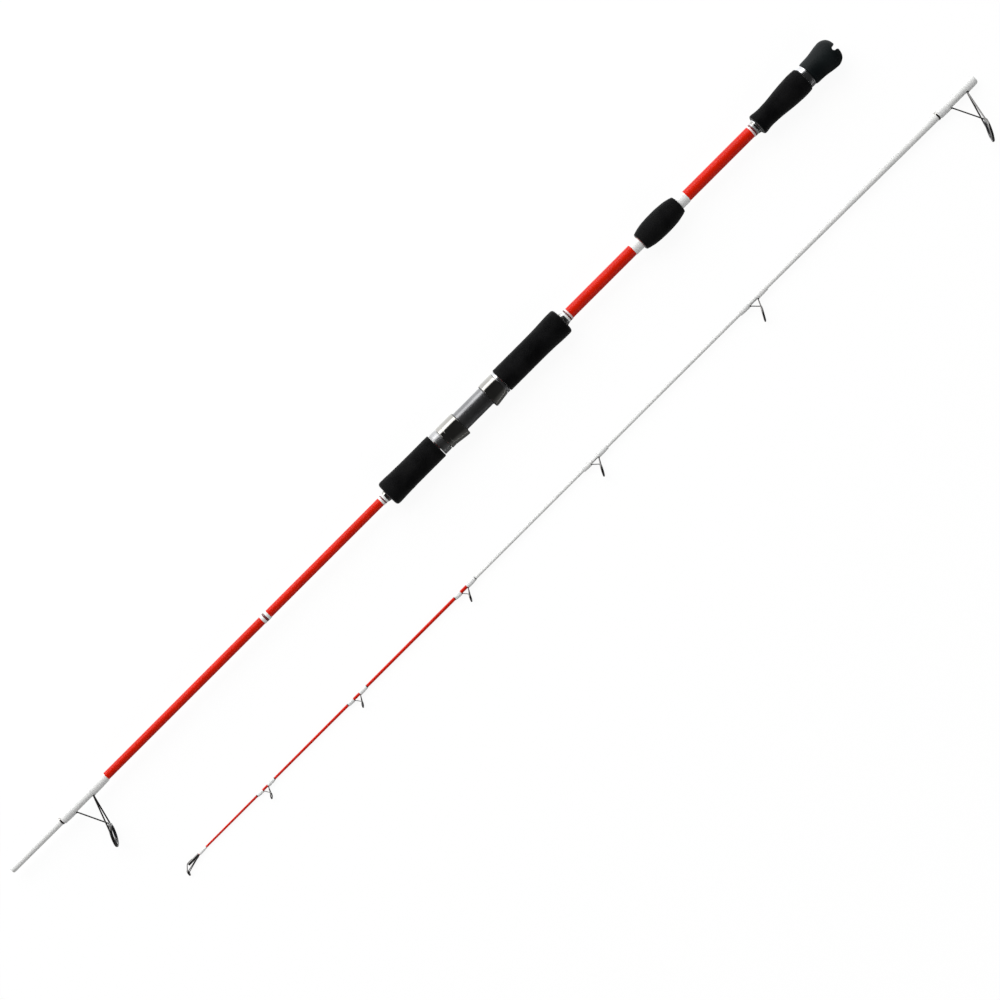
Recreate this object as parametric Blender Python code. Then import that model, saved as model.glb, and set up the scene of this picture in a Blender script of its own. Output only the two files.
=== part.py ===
"""Two-piece spinning rod laid out as its butt section and its tip section, side by side.

Each section has an empty on its own axis.  Along a section, +X runs to the tip, the guides
point to +Y, and +Z is up.  Stations are millimetres from the section's butt-side end.
"""

import math
from collections import namedtuple

import bmesh
import bpy
from mathutils import Matrix, Vector

MM = 0.001

# Layout of the two sections on the floor
BUTT_START_X = -520.8
SOCKET_START_X = -596.6
BUTT_AXIS_Y = -78.45
AXIS_GAP = 116.0
CLEARANCE = 0.05
JOINT_GAP = 0.3
FLOOR_GAP = 0.1

# Butt section: stations of the pieces along the rod
GIMBAL_END = 36.9
GIMBAL_RADIUS = 15.1
GIMBAL_BORE_DEPTH = 24.0
SLOT_WIDTH = 6.6
SLOT_DEPTH = 6.4
COLLAR_SPAN = (37.2, 42.8)
REAR_GRIP_SPAN = (43.1, 106.1)
MID_GRIP_SPAN = (212.9, 264.3)
MID_COLLAR_LENGTH = 10.4
SEAT_GRIP_SPAN = (370.2, 452.6)
HANDLE_TUBE_SPAN = (13.5, 536.0)
HANDLE_TUBE_RADII = (6.1, 5.7)
HANDLE_TUBE_WALL = 0.95
MAIN_BLANK_SPAN = (396.0, 1049.0)
MAIN_BLANK_RADII = (4.6, 4.1)
MAIN_BLANK_WALL = 0.75
FOREGRIP_SPAN = (540.7, 607.5)
GRIP_RADIUS = 13.2
BLANK_BAND_SPAN = (769.0, 777.6)

# Spigot half of the ferrule
SPIGOT_SPAN = (985.0, 1117.4)
SPIGOT_GLUED_RADIUS = 3.25
SPIGOT_RADII = (3.5, 3.3)
FERRULE_RING_SPAN = (1049.3, 1050.9)

# Reel seat
BARREL_SPAN = (453.2, 540.2)
BARREL_RADIUS = 10.5
BARREL_BORE = 8.6
THREAD_START = 512.0
THREAD_CREST_RADIUS = 10.4
BED_HEIGHT = 9.8
BED_SPAN = (473.6, 508.4)
SEAT_RING_SPAN = (453.0, 456.0)
FIXED_HOOD_SPAN = (456.3, 472.4)
MOVING_HOOD_SPAN = (509.6, 531.2)
LOCK_NUT_SPAN = (531.6, 540.2)
HOOD_RADIUS = 12.4
HOOD_FLARE = 2.1
HOOD_FLARE_HALF_ANGLE = math.radians(62)
LINER_RADIUS = 11.5
LINER_BORE = 10.6
LINER_LIP = 0.7
POCKET_DEPTH = 2.2
LOCK_NUT_RADIUS = 12.0
LOCK_NUT_BORE = 10.52
ARBOR_SPAN = (462.0, 532.0)

# Tip section
SOCKET_LENGTH = 50.0
SOCKET_RADIUS = 4.2
SOCKET_BORE_DEPTH = 70.0
SOCKET_BORE = 3.62
TIP_TUBE_END = 692.0
TIP_END = 1070.0
TIP_RADII = ((SOCKET_LENGTH + 3.0, 4.05), (140.0, 3.35), (300.0, 2.3), (TIP_TUBE_END, 1.75), (TIP_END, 1.0))
TIP_TUBE_BORE = 1.0
SOCKET_RING_SPAN = (50.2, 52.0)

# Tip-top: metal tube, ring and the wires between them
TIP_TOP_TUBE_SPAN = (1057.9, 1072.0)
TIP_TOP_TUBE_RADIUS = 1.5
TIP_TOP_WRAP_SPAN = (1047.8, 1057.5)
TIP_TOP_RING_STATION = 1077.3
TIP_TOP_REACH = 6.0
TIP_TOP_RING_RADIUS = 3.1
TIP_TOP_TILT = 11.0
TIP_TOP_WIRE = 0.45

FOOT_THICKNESS = 0.45
WRAP_WALL = 0.3

# Sides of the turned pieces; nested pieces share a count, so their facets line up
SIDES = 24
SEAT_SIDES = 32
WRAP_SIDES = 16
RING_SIDES = 20
WIRE_SIDES = 6

Guide = namedtuple(
    "Guide",
    "name main_foot brace_foot ring reach radius tilt wire foot_width main_wrap brace_wrap",
)
STRIPPER = Guide("stripper_guide", 1011.6, 1033.4, 1024.4, 44.7, 12.4, 25.7, 0.85, 1.8, 20.4, 14.2)
SOCKET_GUIDE = Guide("socket_guide", 14.8, 35.2, 27.4, 46.2, 12.4, 25.7, 0.85, 1.8, 12.8, 12.6)
TIP_GUIDES = (
    Guide("tip_guide_1", 297.6, 307.2, 304.4, 16.6, 8.35, 30.0, 0.6, 1.4, 13.0, 12.0),
    Guide("tip_guide_2", 514.3, 523.2, 520.4, 13.4, 6.8, 28.5, 0.55, 1.2, 12.6, 9.4),
    Guide("tip_guide_3", 692.2, 699.6, 697.2, 10.6, 4.4, 26.5, 0.45, 1.0, 10.4, 7.6),
    Guide("tip_guide_4", 838.9, 845.8, 843.5, 9.8, 3.45, 33.0, 0.4, 0.9, 9.4, 0.0),
    Guide("tip_guide_5", 964.3, 969.8, 968.0, 9.8, 3.4, 35.0, 0.4, 0.9, 8.8, 0.0),
)

Finish = namedtuple("Finish", "colour roughness metallic")
FINISHES = {
    "orange_lacquer": Finish((0.61, 0.017, 0.003), 0.12, 0.0),
    "white_lacquer": Finish((0.80, 0.80, 0.78), 0.2, 0.0),
    "thread_wrap": Finish((0.72, 0.72, 0.70), 0.25, 0.0),
    "black_foam": Finish((0.012, 0.012, 0.013), 0.85, 0.0),
    "black_rubber": Finish((0.018, 0.020, 0.021), 0.6, 0.0),
    "graphite": Finish((0.035, 0.035, 0.036), 0.35, 0.0),
    "black_plastic": Finish((0.015, 0.015, 0.015), 0.45, 0.0),
    "gunmetal": Finish((0.16, 0.155, 0.15), 0.22, 1.0),
    "bright_steel": Finish((0.62, 0.62, 0.63), 0.15, 1.0),
    "ceramic": Finish((0.02, 0.02, 0.022), 0.1, 0.0),
}


def clear_scene():
    """Remove every object and mesh that the file starts with."""
    for item in list(bpy.data.objects):
        bpy.data.objects.remove(item, do_unlink=True)


def material(name):
    """Return the named finish as a Principled material, made on first use."""
    found = bpy.data.materials.get(name)
    if found:
        return found
    finish = FINISHES[name]
    made = bpy.data.materials.new(name)
    made.use_nodes = True
    shader = made.node_tree.nodes["Principled BSDF"]
    shader.inputs["Base Color"].default_value = (*finish.colour, 1.0)
    shader.inputs["Roughness"].default_value = finish.roughness
    shader.inputs["Metallic"].default_value = finish.metallic
    made.diffuse_color = (*finish.colour, 1.0)
    return made


def empty(name, location, rotation=(0.0, 0.0, 0.0), parent=None):
    """Make an empty that carries a section or a moving piece; location in millimetres."""
    holder = bpy.data.objects.new(name, None)
    holder.location = [value * MM for value in location]
    holder.rotation_euler = rotation
    holder.parent = parent
    bpy.context.collection.objects.link(holder)
    return holder


def skin(bm, near, far):
    """Join two rings of vertices, either of which may be a single vertex on the axis."""
    count = max(len(near), len(far))
    for index in range(count):
        following = (index + 1) % count
        if len(near) == 1:
            bm.faces.new((near[0], far[index], far[following]))
        elif len(far) == 1:
            bm.faces.new((near[index], near[following], far[0]))
        else:
            bm.faces.new((near[index], near[following], far[following], far[index]))


def add_turned(bm, outline, segments, placing=Matrix.Identity(4)):
    """Turn (station, radius) points about X.  A radius may be a function of the angle from +Y.

    An outline that starts on the axis is a solid of revolution; any other is a closed ring.
    """
    rings = []
    for station, radius in outline:
        if radius == 0:
            rings.append([bm.verts.new(placing @ Vector((station, 0.0, 0.0)))])
            continue
        ring = []
        for index in range(segments):
            angle = 2 * math.pi * index / segments
            reach = radius(angle) if callable(radius) else radius
            place = Vector((station, reach * math.cos(angle), reach * math.sin(angle)))
            ring.append(bm.verts.new(placing @ place))
        rings.append(ring)
    for near, far in zip(rings, rings[1:]):
        skin(bm, near, far)
    if len(rings[0]) > 1:
        skin(bm, rings[-1], rings[0])


def add_wire(bm, points, radius, sides=WIRE_SIDES):
    """Sweep a round wire along points, mitred at each bend, with flat ends."""
    points = [Vector(point) for point in points]
    side = Vector((0.0, 0.0, 1.0))
    rings = []
    for index, point in enumerate(points):
        before = points[max(index - 1, 0)]
        after = points[min(index + 1, len(points) - 1)]
        along = (after - before).normalized()
        side = (side - along * side.dot(along)).normalized()
        across = along.cross(side)
        ring = []
        for step in range(sides):
            angle = 2 * math.pi * step / sides
            ring.append(bm.verts.new(point + (side * math.cos(angle) + across * math.sin(angle)) * radius))
        rings.append(ring)
    for near, far in zip(rings, rings[1:]):
        skin(bm, near, far)
    bm.faces.new(rings[0])
    bm.faces.new(rings[-1])


def add_box(bm, low, high):
    """Add a box between two corners."""
    size = Vector(high) - Vector(low)
    centre = (Vector(high) + Vector(low)) / 2
    placing = Matrix.Translation(centre) @ Matrix.Diagonal((*size, 1.0))
    bmesh.ops.create_cube(bm, size=1.0, matrix=placing)


def make_object(bm, name, parent, station, finish):
    """Finish a mesh built in millimetres and place it at its station on the parent's axis."""
    bmesh.ops.scale(bm, vec=(MM, MM, MM), verts=bm.verts)
    bmesh.ops.recalc_face_normals(bm, faces=bm.faces)
    mesh = bpy.data.meshes.new(name)
    bm.to_mesh(mesh)
    bm.free()
    mesh.shade_smooth()
    mesh.set_sharp_from_angle(angle=math.radians(32))
    piece = bpy.data.objects.new(name, mesh)
    piece.location = (station * MM, 0.0, 0.0)
    piece.parent = parent
    bpy.context.collection.objects.link(piece)
    if finish:
        mesh.materials.append(material(finish))
    else:
        piece.hide_render = True
        piece.display_type = "WIRE"
    return piece


def turned(name, parent, station, outline, finish, segments=SIDES):
    """Make one turned piece; the outline's stations count from its own station."""
    bm = bmesh.new()
    add_turned(bm, outline, segments)
    return make_object(bm, name, parent, station, finish)


def sleeve(name, parent, span, outer, inner, finish, segments=SIDES, edge=0.0):
    """Make a plain ring or tube; outer and inner are (start, end) radii."""
    length = span[1] - span[0]
    outline = [(0.0, inner[0]), (0.0, outer[0] - edge)]
    if edge:
        outline += [(edge, outer[0]), (length - edge, outer[1])]
    outline += [(length, outer[1] - edge), (length, inner[1])]
    return turned(name, parent, span[0], outline, finish, segments)


def between(points, station):
    """Read a radius from (station, radius) points joined by straight lines."""
    for (start, first), (end, last) in zip(points, points[1:]):
        if station <= end:
            return first + (last - first) * (station - start) / (end - start)
    return points[-1][1]


def eased(points, count):
    """Return count + 1 points on the smooth curve through (station, radius) points."""
    start, end = points[0][0], points[-1][0]
    curve = []
    for step in range(count + 1):
        station = start + (end - start) * step / count
        for (x0, r0), (x1, r1) in zip(points, points[1:]):
            if station <= x1 + 1e-9:
                part = (station - x0) / (x1 - x0)
                curve.append((station, r0 + (r1 - r0) * part * part * (3 - 2 * part)))
                break
    return curve


def corner(station, radius, size, toward_tip, steps=2):
    """Return a quarter-round grip corner that ends at this station and starts at this radius."""
    arc = []
    for step in range(steps + 1):
        angle = math.pi / 2 * step / steps
        drop = size * (1 - math.cos(angle)) if toward_tip else size * (1 - math.sin(angle))
        back = size * (1 - math.sin(angle)) if toward_tip else size * (1 - math.cos(angle))
        arc.append((station - back if toward_tip else station + back, radius - drop))
    return arc


def handle_radius(station):
    """Outer radius of the handle tube."""
    return between(tuple(zip(HANDLE_TUBE_SPAN, HANDLE_TUBE_RADII)), station)


def blank_radius(station):
    """Outer radius of the main blank."""
    return between(tuple(zip(MAIN_BLANK_SPAN, MAIN_BLANK_RADII)), station)


def tip_radius(station):
    """Outer radius of the tip section's blank."""
    if station <= SOCKET_LENGTH:
        return SOCKET_RADIUS
    return between(TIP_RADII, station)


def foam_grip(name, parent, span, profile, corners, bore, bulge_steps=6):
    """Make a foam grip: an eased outer profile, quarter-round ends and a through bore."""
    length = span[1] - span[0]
    first, last = profile[0][1], profile[-1][1]
    outer = corner(0.0, first, corners[0], False)
    outer += eased([(corners[0], first), *profile[1:-1], (length - corners[1], last)], bulge_steps)[1:-1]
    outer += corner(length, last, corners[1], True)
    outline = [(0.0, bore(span[0]) + CLEARANCE), *outer, (length, bore(span[1]) + CLEARANCE)]
    return turned(name, parent, span[0], outline, "black_foam")


def trim_stack(name, parent, grip_end, grip_side, bore):
    """Make the tapered check against a grip and the trim ring beyond it.

    grip_side is +1 where the stack runs on toward the tip and -1 where it runs to the butt.
    """
    check, trim = 3.2, 5.6
    near = grip_end + grip_side * JOINT_GAP
    inner = bore(near) + CLEARANCE
    wide, narrow = inner + 1.5, inner + 0.75
    tight = inner + 0.5
    if grip_side > 0:
        sleeve(f"{name}_check", parent, (near, near + check), (wide, narrow), (inner, inner), "bright_steel")
        start = near + check + CLEARANCE
        sleeve(f"{name}_trim", parent, (start, start + trim), (tight, tight), (inner, inner), "thread_wrap")
        return
    sleeve(f"{name}_check", parent, (near - check, near), (narrow, wide), (inner, inner), "bright_steel")
    start = near - check - CLEARANCE - trim
    sleeve(f"{name}_trim", parent, (start, start + trim), (tight, tight), (inner, inner), "thread_wrap")


def gimbal(parent):
    """Make the rubber gimbal butt: flared, domed at its end, with crossed slots and a blind bore."""
    profile = []
    for step in range(5):
        angle = math.pi / 2 * step / 4
        profile.append((10.0 * (1 - math.cos(angle)), 7.0 + (GIMBAL_RADIUS - 7.0) * math.sin(angle)))
    flare = eased([(10.0, GIMBAL_RADIUS), (GIMBAL_END - 1.0, 12.7)], 5)[1:]
    bore_end = GIMBAL_END - GIMBAL_BORE_DEPTH
    bore = handle_radius(GIMBAL_END) + CLEARANCE
    outline = [(0.0, 0.0), *profile, *flare, (GIMBAL_END, 11.9), (GIMBAL_END, bore), (bore_end, bore),
               (bore_end, 0.0)]
    body = turned("gimbal_butt", parent, 0.0, outline, "black_rubber")
    half = SLOT_WIDTH / 2
    for label, across in (("upright", (half, 20.0)), ("level", (20.0, half))):
        bm = bmesh.new()
        add_box(bm, (-2.0, -across[0], -across[1]), (SLOT_DEPTH, across[0], across[1]))
        cutter = make_object(bm, f"gimbal_slot_cutter_{label}", parent, 0.0, None)
        cut = body.modifiers.new(f"slot_{label}", "BOOLEAN")
        cut.operation = "DIFFERENCE"
        cut.object = cutter
    return body


def grips(parent):
    """Make the four foam grips of the butt section with their collars and trim stacks."""
    sleeve("gimbal_collar", parent, COLLAR_SPAN, (11.8, 11.8),
           (handle_radius(COLLAR_SPAN[0]) + CLEARANCE,) * 2, "bright_steel", edge=0.5)
    foam_grip("rear_grip", parent, REAR_GRIP_SPAN,
              [(0.0, 13.4), (10.0, 13.5), (50.0, 10.5), (63.0, 11.6)], (1.5, 1.8), handle_radius)
    trim_stack("rear_grip", parent, REAR_GRIP_SPAN[1], 1, handle_radius)

    mid_length = MID_GRIP_SPAN[1] - MID_GRIP_SPAN[0]
    foam_grip("mid_grip", parent, MID_GRIP_SPAN,
              [(0.0, 9.6), (mid_length / 2, 12.9), (mid_length, 9.6)], (1.2, 1.2), handle_radius)
    rear = (MID_GRIP_SPAN[0] - JOINT_GAP - MID_COLLAR_LENGTH, MID_GRIP_SPAN[0] - JOINT_GAP)
    front = (MID_GRIP_SPAN[1] + JOINT_GAP, MID_GRIP_SPAN[1] + JOINT_GAP + MID_COLLAR_LENGTH)
    for label, span in (("rear", rear), ("front", front)):
        bore = handle_radius(span[0]) + CLEARANCE
        sleeve(f"mid_grip_{label}_collar", parent, span, (bore + 0.45,) * 2, (bore,) * 2, "white_lacquer")

    foam_grip("seat_rear_grip", parent, SEAT_GRIP_SPAN,
              [(0.0, 14.2), (8.0, 14.2), (34.0, GRIP_RADIUS), (82.4, GRIP_RADIUS)], (3.2, 1.0), handle_radius)
    trim_stack("seat_rear_grip", parent, SEAT_GRIP_SPAN[0], -1, handle_radius)
    foam_grip("foregrip", parent, FOREGRIP_SPAN,
              [(0.0, GRIP_RADIUS), (40.0, GRIP_RADIUS), (61.0, 13.9), (66.8, 13.9)], (1.0, 3.2), blank_radius)
    trim_stack("foregrip", parent, FOREGRIP_SPAN[1], 1, blank_radius)


def blanks(parent):
    """Make the handle tube, the main blank in it, and the spigot glued in the blank's end."""
    sleeve("handle_tube", parent, HANDLE_TUBE_SPAN, HANDLE_TUBE_RADII,
           tuple(radius - HANDLE_TUBE_WALL for radius in HANDLE_TUBE_RADII), "orange_lacquer")
    sleeve("main_blank", parent, MAIN_BLANK_SPAN, MAIN_BLANK_RADII,
           tuple(radius - MAIN_BLANK_WALL for radius in MAIN_BLANK_RADII), "orange_lacquer")
    band = blank_radius(BLANK_BAND_SPAN[0]) + CLEARANCE
    sleeve("blank_band", parent, BLANK_BAND_SPAN, (band + 0.25,) * 2, (band,) * 2, "thread_wrap")
    start, end = SPIGOT_SPAN
    shoulder = MAIN_BLANK_SPAN[1] + 0.1 - start
    outline = [(0.0, 0.0), (0.0, SPIGOT_GLUED_RADIUS), (shoulder, SPIGOT_GLUED_RADIUS),
               (shoulder, SPIGOT_RADII[0]), (end - start - 0.6, SPIGOT_RADII[1]),
               (end - start, SPIGOT_RADII[1] - 0.6), (end - start, 0.0)]
    turned("ferrule_spigot", parent, start, outline, "white_lacquer")
    sleeve("ferrule_ring", parent, FERRULE_RING_SPAN, (4.2, 4.2),
           (SPIGOT_RADII[0] + CLEARANCE,) * 2, "gunmetal")


def flared(base, depth):
    """Return a radius function that bulges by depth on the +Y side of a round piece."""
    def radius(angle):
        turn = min(angle, 2 * math.pi - angle)
        if turn >= HOOD_FLARE_HALF_ANGLE:
            return base
        return base + depth * math.cos(math.pi / 2 * turn / HOOD_FLARE_HALF_ANGLE) ** 2
    return radius


def hood(name, parent, span, mouth_at_start):
    """Make a hood's metal shell and the plastic liner whose pocket takes the reel foot."""
    length = span[1] - span[0]
    reach = 16.1
    gap = 0.15

    def place(distance):
        return distance if mouth_at_start else length - distance

    def depth(distance, full):
        return full * max(0.0, 1 - distance / reach)

    shell_stops = (0.0, 0.8, 6.0, 11.0, reach)
    if length > reach + 0.1:
        shell_stops += (length,)
    shell_outer = [(place(d), flared(HOOD_RADIUS - (0.4 if d == 0.0 else 0.0), depth(d, HOOD_FLARE)))
                   for d in shell_stops]
    shell_inner = [(place(d), flared(LINER_RADIUS + gap, depth(d, HOOD_FLARE)))
                   for d in reversed(shell_stops)]
    turned(f"{name}_shell", parent, span[0], shell_outer + shell_inner, "gunmetal", SEAT_SIDES)

    liner_stops = (-LINER_LIP, 0.8, 6.0, 11.0, reach)
    liner_outer = [(place(d), flared(LINER_RADIUS, depth(d, HOOD_FLARE))) for d in liner_stops]
    liner_inner = [(place(d), flared(LINER_BORE, depth(d, POCKET_DEPTH) + 0.3)) for d in reversed(liner_stops)]
    turned(f"{name}_liner", parent, span[0], liner_outer + liner_inner, "black_plastic", SEAT_SIDES)


def reel_seat(parent):
    """Make the fixed half of the reel seat: barrel, arbor, end ring and fixed hood."""
    start, end = BARREL_SPAN
    outline = [(0.0, BARREL_BORE), (0.0, BARREL_RADIUS), (THREAD_START - start, BARREL_RADIUS),
               (THREAD_START - start, THREAD_CREST_RADIUS), (end - start, THREAD_CREST_RADIUS),
               (end - start, BARREL_BORE)]
    barrel = turned("reel_seat_barrel", parent, start, outline, "graphite", SEAT_SIDES)
    bm = bmesh.new()
    add_box(bm, (0.0, BED_HEIGHT, -8.0), (BED_SPAN[1] - BED_SPAN[0], BED_HEIGHT + 4.0, 8.0))
    cutter = make_object(bm, "reel_foot_bed_cutter", parent, BED_SPAN[0], None)
    cut = barrel.modifiers.new("reel_foot_bed", "BOOLEAN")
    cut.operation = "DIFFERENCE"
    cut.object = cutter
    arbor_bore = handle_radius(ARBOR_SPAN[0]) + CLEARANCE
    sleeve("seat_arbor", parent, ARBOR_SPAN, (BARREL_BORE - CLEARANCE,) * 2, (arbor_bore,) * 2, "black_plastic")
    sleeve("seat_end_ring", parent, SEAT_RING_SPAN, (12.5, 12.5), (BARREL_RADIUS + CLEARANCE,) * 2,
           "bright_steel", SEAT_SIDES, edge=0.4)
    hood("fixed_hood", parent, FIXED_HOOD_SPAN, mouth_at_start=False)


def moving_hood(parent):
    """Make the sliding hood and the lock nut, each on an empty on its joint's axis."""
    slide = empty("moving_hood_axis", (MOVING_HOOD_SPAN[0], 0.0, 0.0), parent=parent)
    hood("moving_hood", slide, (0.0, MOVING_HOOD_SPAN[1] - MOVING_HOOD_SPAN[0]), mouth_at_start=True)
    spin = empty("lock_nut_axis", (LOCK_NUT_SPAN[0] - MOVING_HOOD_SPAN[0], 0.0, 0.0), parent=slide)
    sleeve("lock_nut", spin, (0.0, LOCK_NUT_SPAN[1] - LOCK_NUT_SPAN[0]), (LOCK_NUT_RADIUS,) * 2,
           (LOCK_NUT_BORE,) * 2, "bright_steel", SEAT_SIDES, edge=0.6)


def united(body, bodies):
    """Join overlapping bodies into one with an exact union, and keep only the result."""
    for other in bodies:
        join = body.modifiers.new(other.name, "BOOLEAN")
        join.operation = "UNION"
        join.object = other
    graph = bpy.context.evaluated_depsgraph_get()
    mesh = bpy.data.meshes.new_from_object(body.evaluated_get(graph))
    mesh.name = body.name
    body.modifiers.clear()
    body.data = mesh
    for other in bodies:
        bpy.data.objects.remove(other, do_unlink=True)
    return body


def wire_piece(name, parent, station, points, radius):
    """Make one loose wire, ready to be united with a frame."""
    bm = bmesh.new()
    add_wire(bm, points, radius)
    return make_object(bm, name, parent, station, "gunmetal")


def ring_placing(reach, tilt):
    """Return the matrix that stands a ring at its reach, its far edge tilted toward the tip."""
    turn = Matrix.Rotation(-math.radians(tilt), 4, "Z")
    return Matrix.Translation((0.0, reach, 0.0)) @ turn


def frame_ring(name, parent, station, placing, radius, wire):
    """Make the round wire that holds a guide's ring insert."""
    outline = []
    for step in range(WIRE_SIDES):
        angle = 2 * math.pi * (step + 0.5) / WIRE_SIDES
        outline.append((wire * math.cos(angle), radius - wire + wire * math.sin(angle)))
    bm = bmesh.new()
    add_turned(bm, outline, RING_SIDES, placing)
    return make_object(bm, name, parent, station, "gunmetal")


def ring_insert(name, parent, station, placing, outer, thickness):
    """Make the ceramic ring: a rounded band inside the frame's wire."""
    half = thickness * 0.75
    outline = [(-half, outer - thickness * 0.35), (0.0, outer), (half, outer - thickness * 0.35),
               (half * 0.5, outer - thickness), (-half * 0.5, outer - thickness)]
    bm = bmesh.new()
    add_turned(bm, outline, RING_SIDES, placing)
    return make_object(bm, name, parent, station, "ceramic")


def wrap_bore(base, foot_width):
    """Return the bore of a thread wrap whose flats clear the corners of the foot under it."""
    return (math.hypot(base + FOOT_THICKNESS, foot_width / 2) + 0.03) / math.cos(math.pi / WRAP_SIDES)


def guide(parent, spec, radius_at):
    """Make one double-foot guide: wire frame, ceramic ring and the thread wraps on its feet."""
    placing = ring_placing(spec.reach, spec.tilt)
    main = spec.main_foot - spec.ring
    brace = spec.brace_foot - spec.ring
    base = {side: radius_at(side + spec.ring) + CLEARANCE for side in (main, brace)}
    middle = spec.radius - spec.wire

    frame = frame_ring(f"{spec.name}_frame", parent, spec.ring, placing, spec.radius, spec.wire)
    parts = []
    distance = math.hypot(spec.reach - base[main], main)
    touch = math.acos(min(0.95, middle / distance))
    for label, side in (("upper", 1), ("lower", -1)):
        end = placing @ Vector((0.0, -middle * math.cos(touch), side * middle * math.sin(touch)))
        foot = (main, base[main] + FOOT_THICKNESS * 0.6, side * spec.wire * 0.95)
        parts.append(wire_piece(f"{label}_leg", parent, spec.ring, [foot, end], spec.wire * 0.78))
    near_edge = placing @ Vector((0.0, -middle, 0.0))
    brace_foot = (brace, base[brace] + FOOT_THICKNESS * 0.6, 0.0)
    parts.append(wire_piece("brace_leg", parent, spec.ring, [brace_foot, near_edge], spec.wire * 0.65))

    feet = ((main, -1, spec.main_wrap), (brace, 1, spec.brace_wrap or 7.0))
    for centre, side, length in feet:
        tail = centre + side * (length - 1.5)
        heel = centre - side * spec.wire * 1.1
        bm = bmesh.new()
        add_box(bm, (min(tail, heel), base[centre], -spec.foot_width / 2),
                (max(tail, heel), base[centre] + FOOT_THICKNESS, spec.foot_width / 2))
        parts.append(make_object(bm, f"foot_{side}", parent, spec.ring, "gunmetal"))
    united(frame, parts)

    insert_radius = spec.radius - 2 * spec.wire - 0.03
    ring_insert(f"{spec.name}_ring", parent, spec.ring, placing, insert_radius, 0.17 * spec.radius)
    for label, centre, side, length in (("main", main, -1, spec.main_wrap), ("brace", brace, 1, spec.brace_wrap)):
        if not length:
            continue
        edge = centre + side * spec.wire * 1.6
        span = sorted((spec.ring + edge, spec.ring + edge + side * length))
        inner = wrap_bore(base[centre], spec.foot_width)
        sleeve(f"{spec.name}_{label}_wrap", parent, span, (inner + WRAP_WALL,) * 2, (inner,) * 2,
               "thread_wrap", WRAP_SIDES)


def tip_blanks(parent):
    """Make the white tube with its socket, the orange solid tip glued in it, and the socket ring."""
    stations = [(SOCKET_LENGTH, SOCKET_RADIUS), *TIP_RADII[:-1]]
    outline = [(0.0, SOCKET_BORE), (0.0, SOCKET_RADIUS - 0.3), (0.3, SOCKET_RADIUS), *stations,
               (TIP_TUBE_END, TIP_TUBE_BORE), (SOCKET_BORE_DEPTH + 4.0, TIP_TUBE_BORE),
               (SOCKET_BORE_DEPTH, SOCKET_BORE - 0.2)]
    turned("tip_section_tube", parent, 0.0, outline, "white_lacquer")
    start = TIP_TUBE_END - 40.0
    glued = TIP_TUBE_END + 0.1 - start
    length = TIP_END - start
    outline = [(0.0, 0.0), (0.0, TIP_TUBE_BORE - CLEARANCE), (glued, TIP_TUBE_BORE - CLEARANCE),
               (glued, TIP_RADII[-2][1]), (length - 0.4, TIP_RADII[-1][1]), (length, 0.6), (length, 0.0)]
    turned("solid_tip", parent, start, outline, "orange_lacquer")
    inner = SOCKET_RADIUS + CLEARANCE
    sleeve("socket_ring", parent, SOCKET_RING_SPAN, (inner + 0.5,) * 2, (inner,) * 2, "gunmetal")


def tip_top(parent):
    """Make the tip-top: its tube, bent wires and ring, and the thread wrap behind it."""
    placing = ring_placing(TIP_TOP_REACH, TIP_TOP_TILT)
    middle = TIP_TOP_RING_RADIUS - TIP_TOP_WIRE
    start, end = (station - TIP_TOP_RING_STATION for station in TIP_TOP_TUBE_SPAN)
    bore = tip_radius(TIP_TOP_TUBE_SPAN[0]) + CLEARANCE
    frame = frame_ring("tip_top_frame", parent, TIP_TOP_RING_STATION, placing, TIP_TOP_RING_RADIUS, TIP_TOP_WIRE)
    bm = bmesh.new()
    add_turned(bm, [(start, bore), (start, TIP_TOP_TUBE_RADIUS), (end, TIP_TOP_TUBE_RADIUS), (end, bore)], SIDES)
    tube = make_object(bm, "tube", parent, TIP_TOP_RING_STATION, "gunmetal")
    near_edge = placing @ Vector((0.0, -middle, 0.0))
    wall = (TIP_TOP_TUBE_RADIUS + bore) / 2 + 0.25
    stay = wire_piece("stay", parent, TIP_TOP_RING_STATION,
                      [(end - 6.0, -wall, 0.0), (end + 0.5, -wall, 0.0), near_edge], TIP_TOP_WIRE * 0.8)
    parts = [tube, stay]
    for label, side in (("upper", 1), ("lower", -1)):
        touch = math.radians(75)
        rim = placing @ Vector((0.0, -middle * math.cos(touch), side * middle * math.sin(touch)))
        heel = (start + 1.5, wall * math.cos(0.5), side * wall * math.sin(0.5))
        parts.append(wire_piece(f"{label}_leg", parent, TIP_TOP_RING_STATION, [heel, rim], TIP_TOP_WIRE * 0.8))
    united(frame, parts)
    ring_insert("tip_top_ring", parent, TIP_TOP_RING_STATION, placing,
                TIP_TOP_RING_RADIUS - 2 * TIP_TOP_WIRE - 0.03, 0.6)
    wrap_bore = tip_radius(TIP_TOP_WRAP_SPAN[0]) + CLEARANCE
    sleeve("tip_top_wrap", parent, TIP_TOP_WRAP_SPAN, (wrap_bore + 0.6,) * 2, (wrap_bore,) * 2,
           "thread_wrap")


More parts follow.
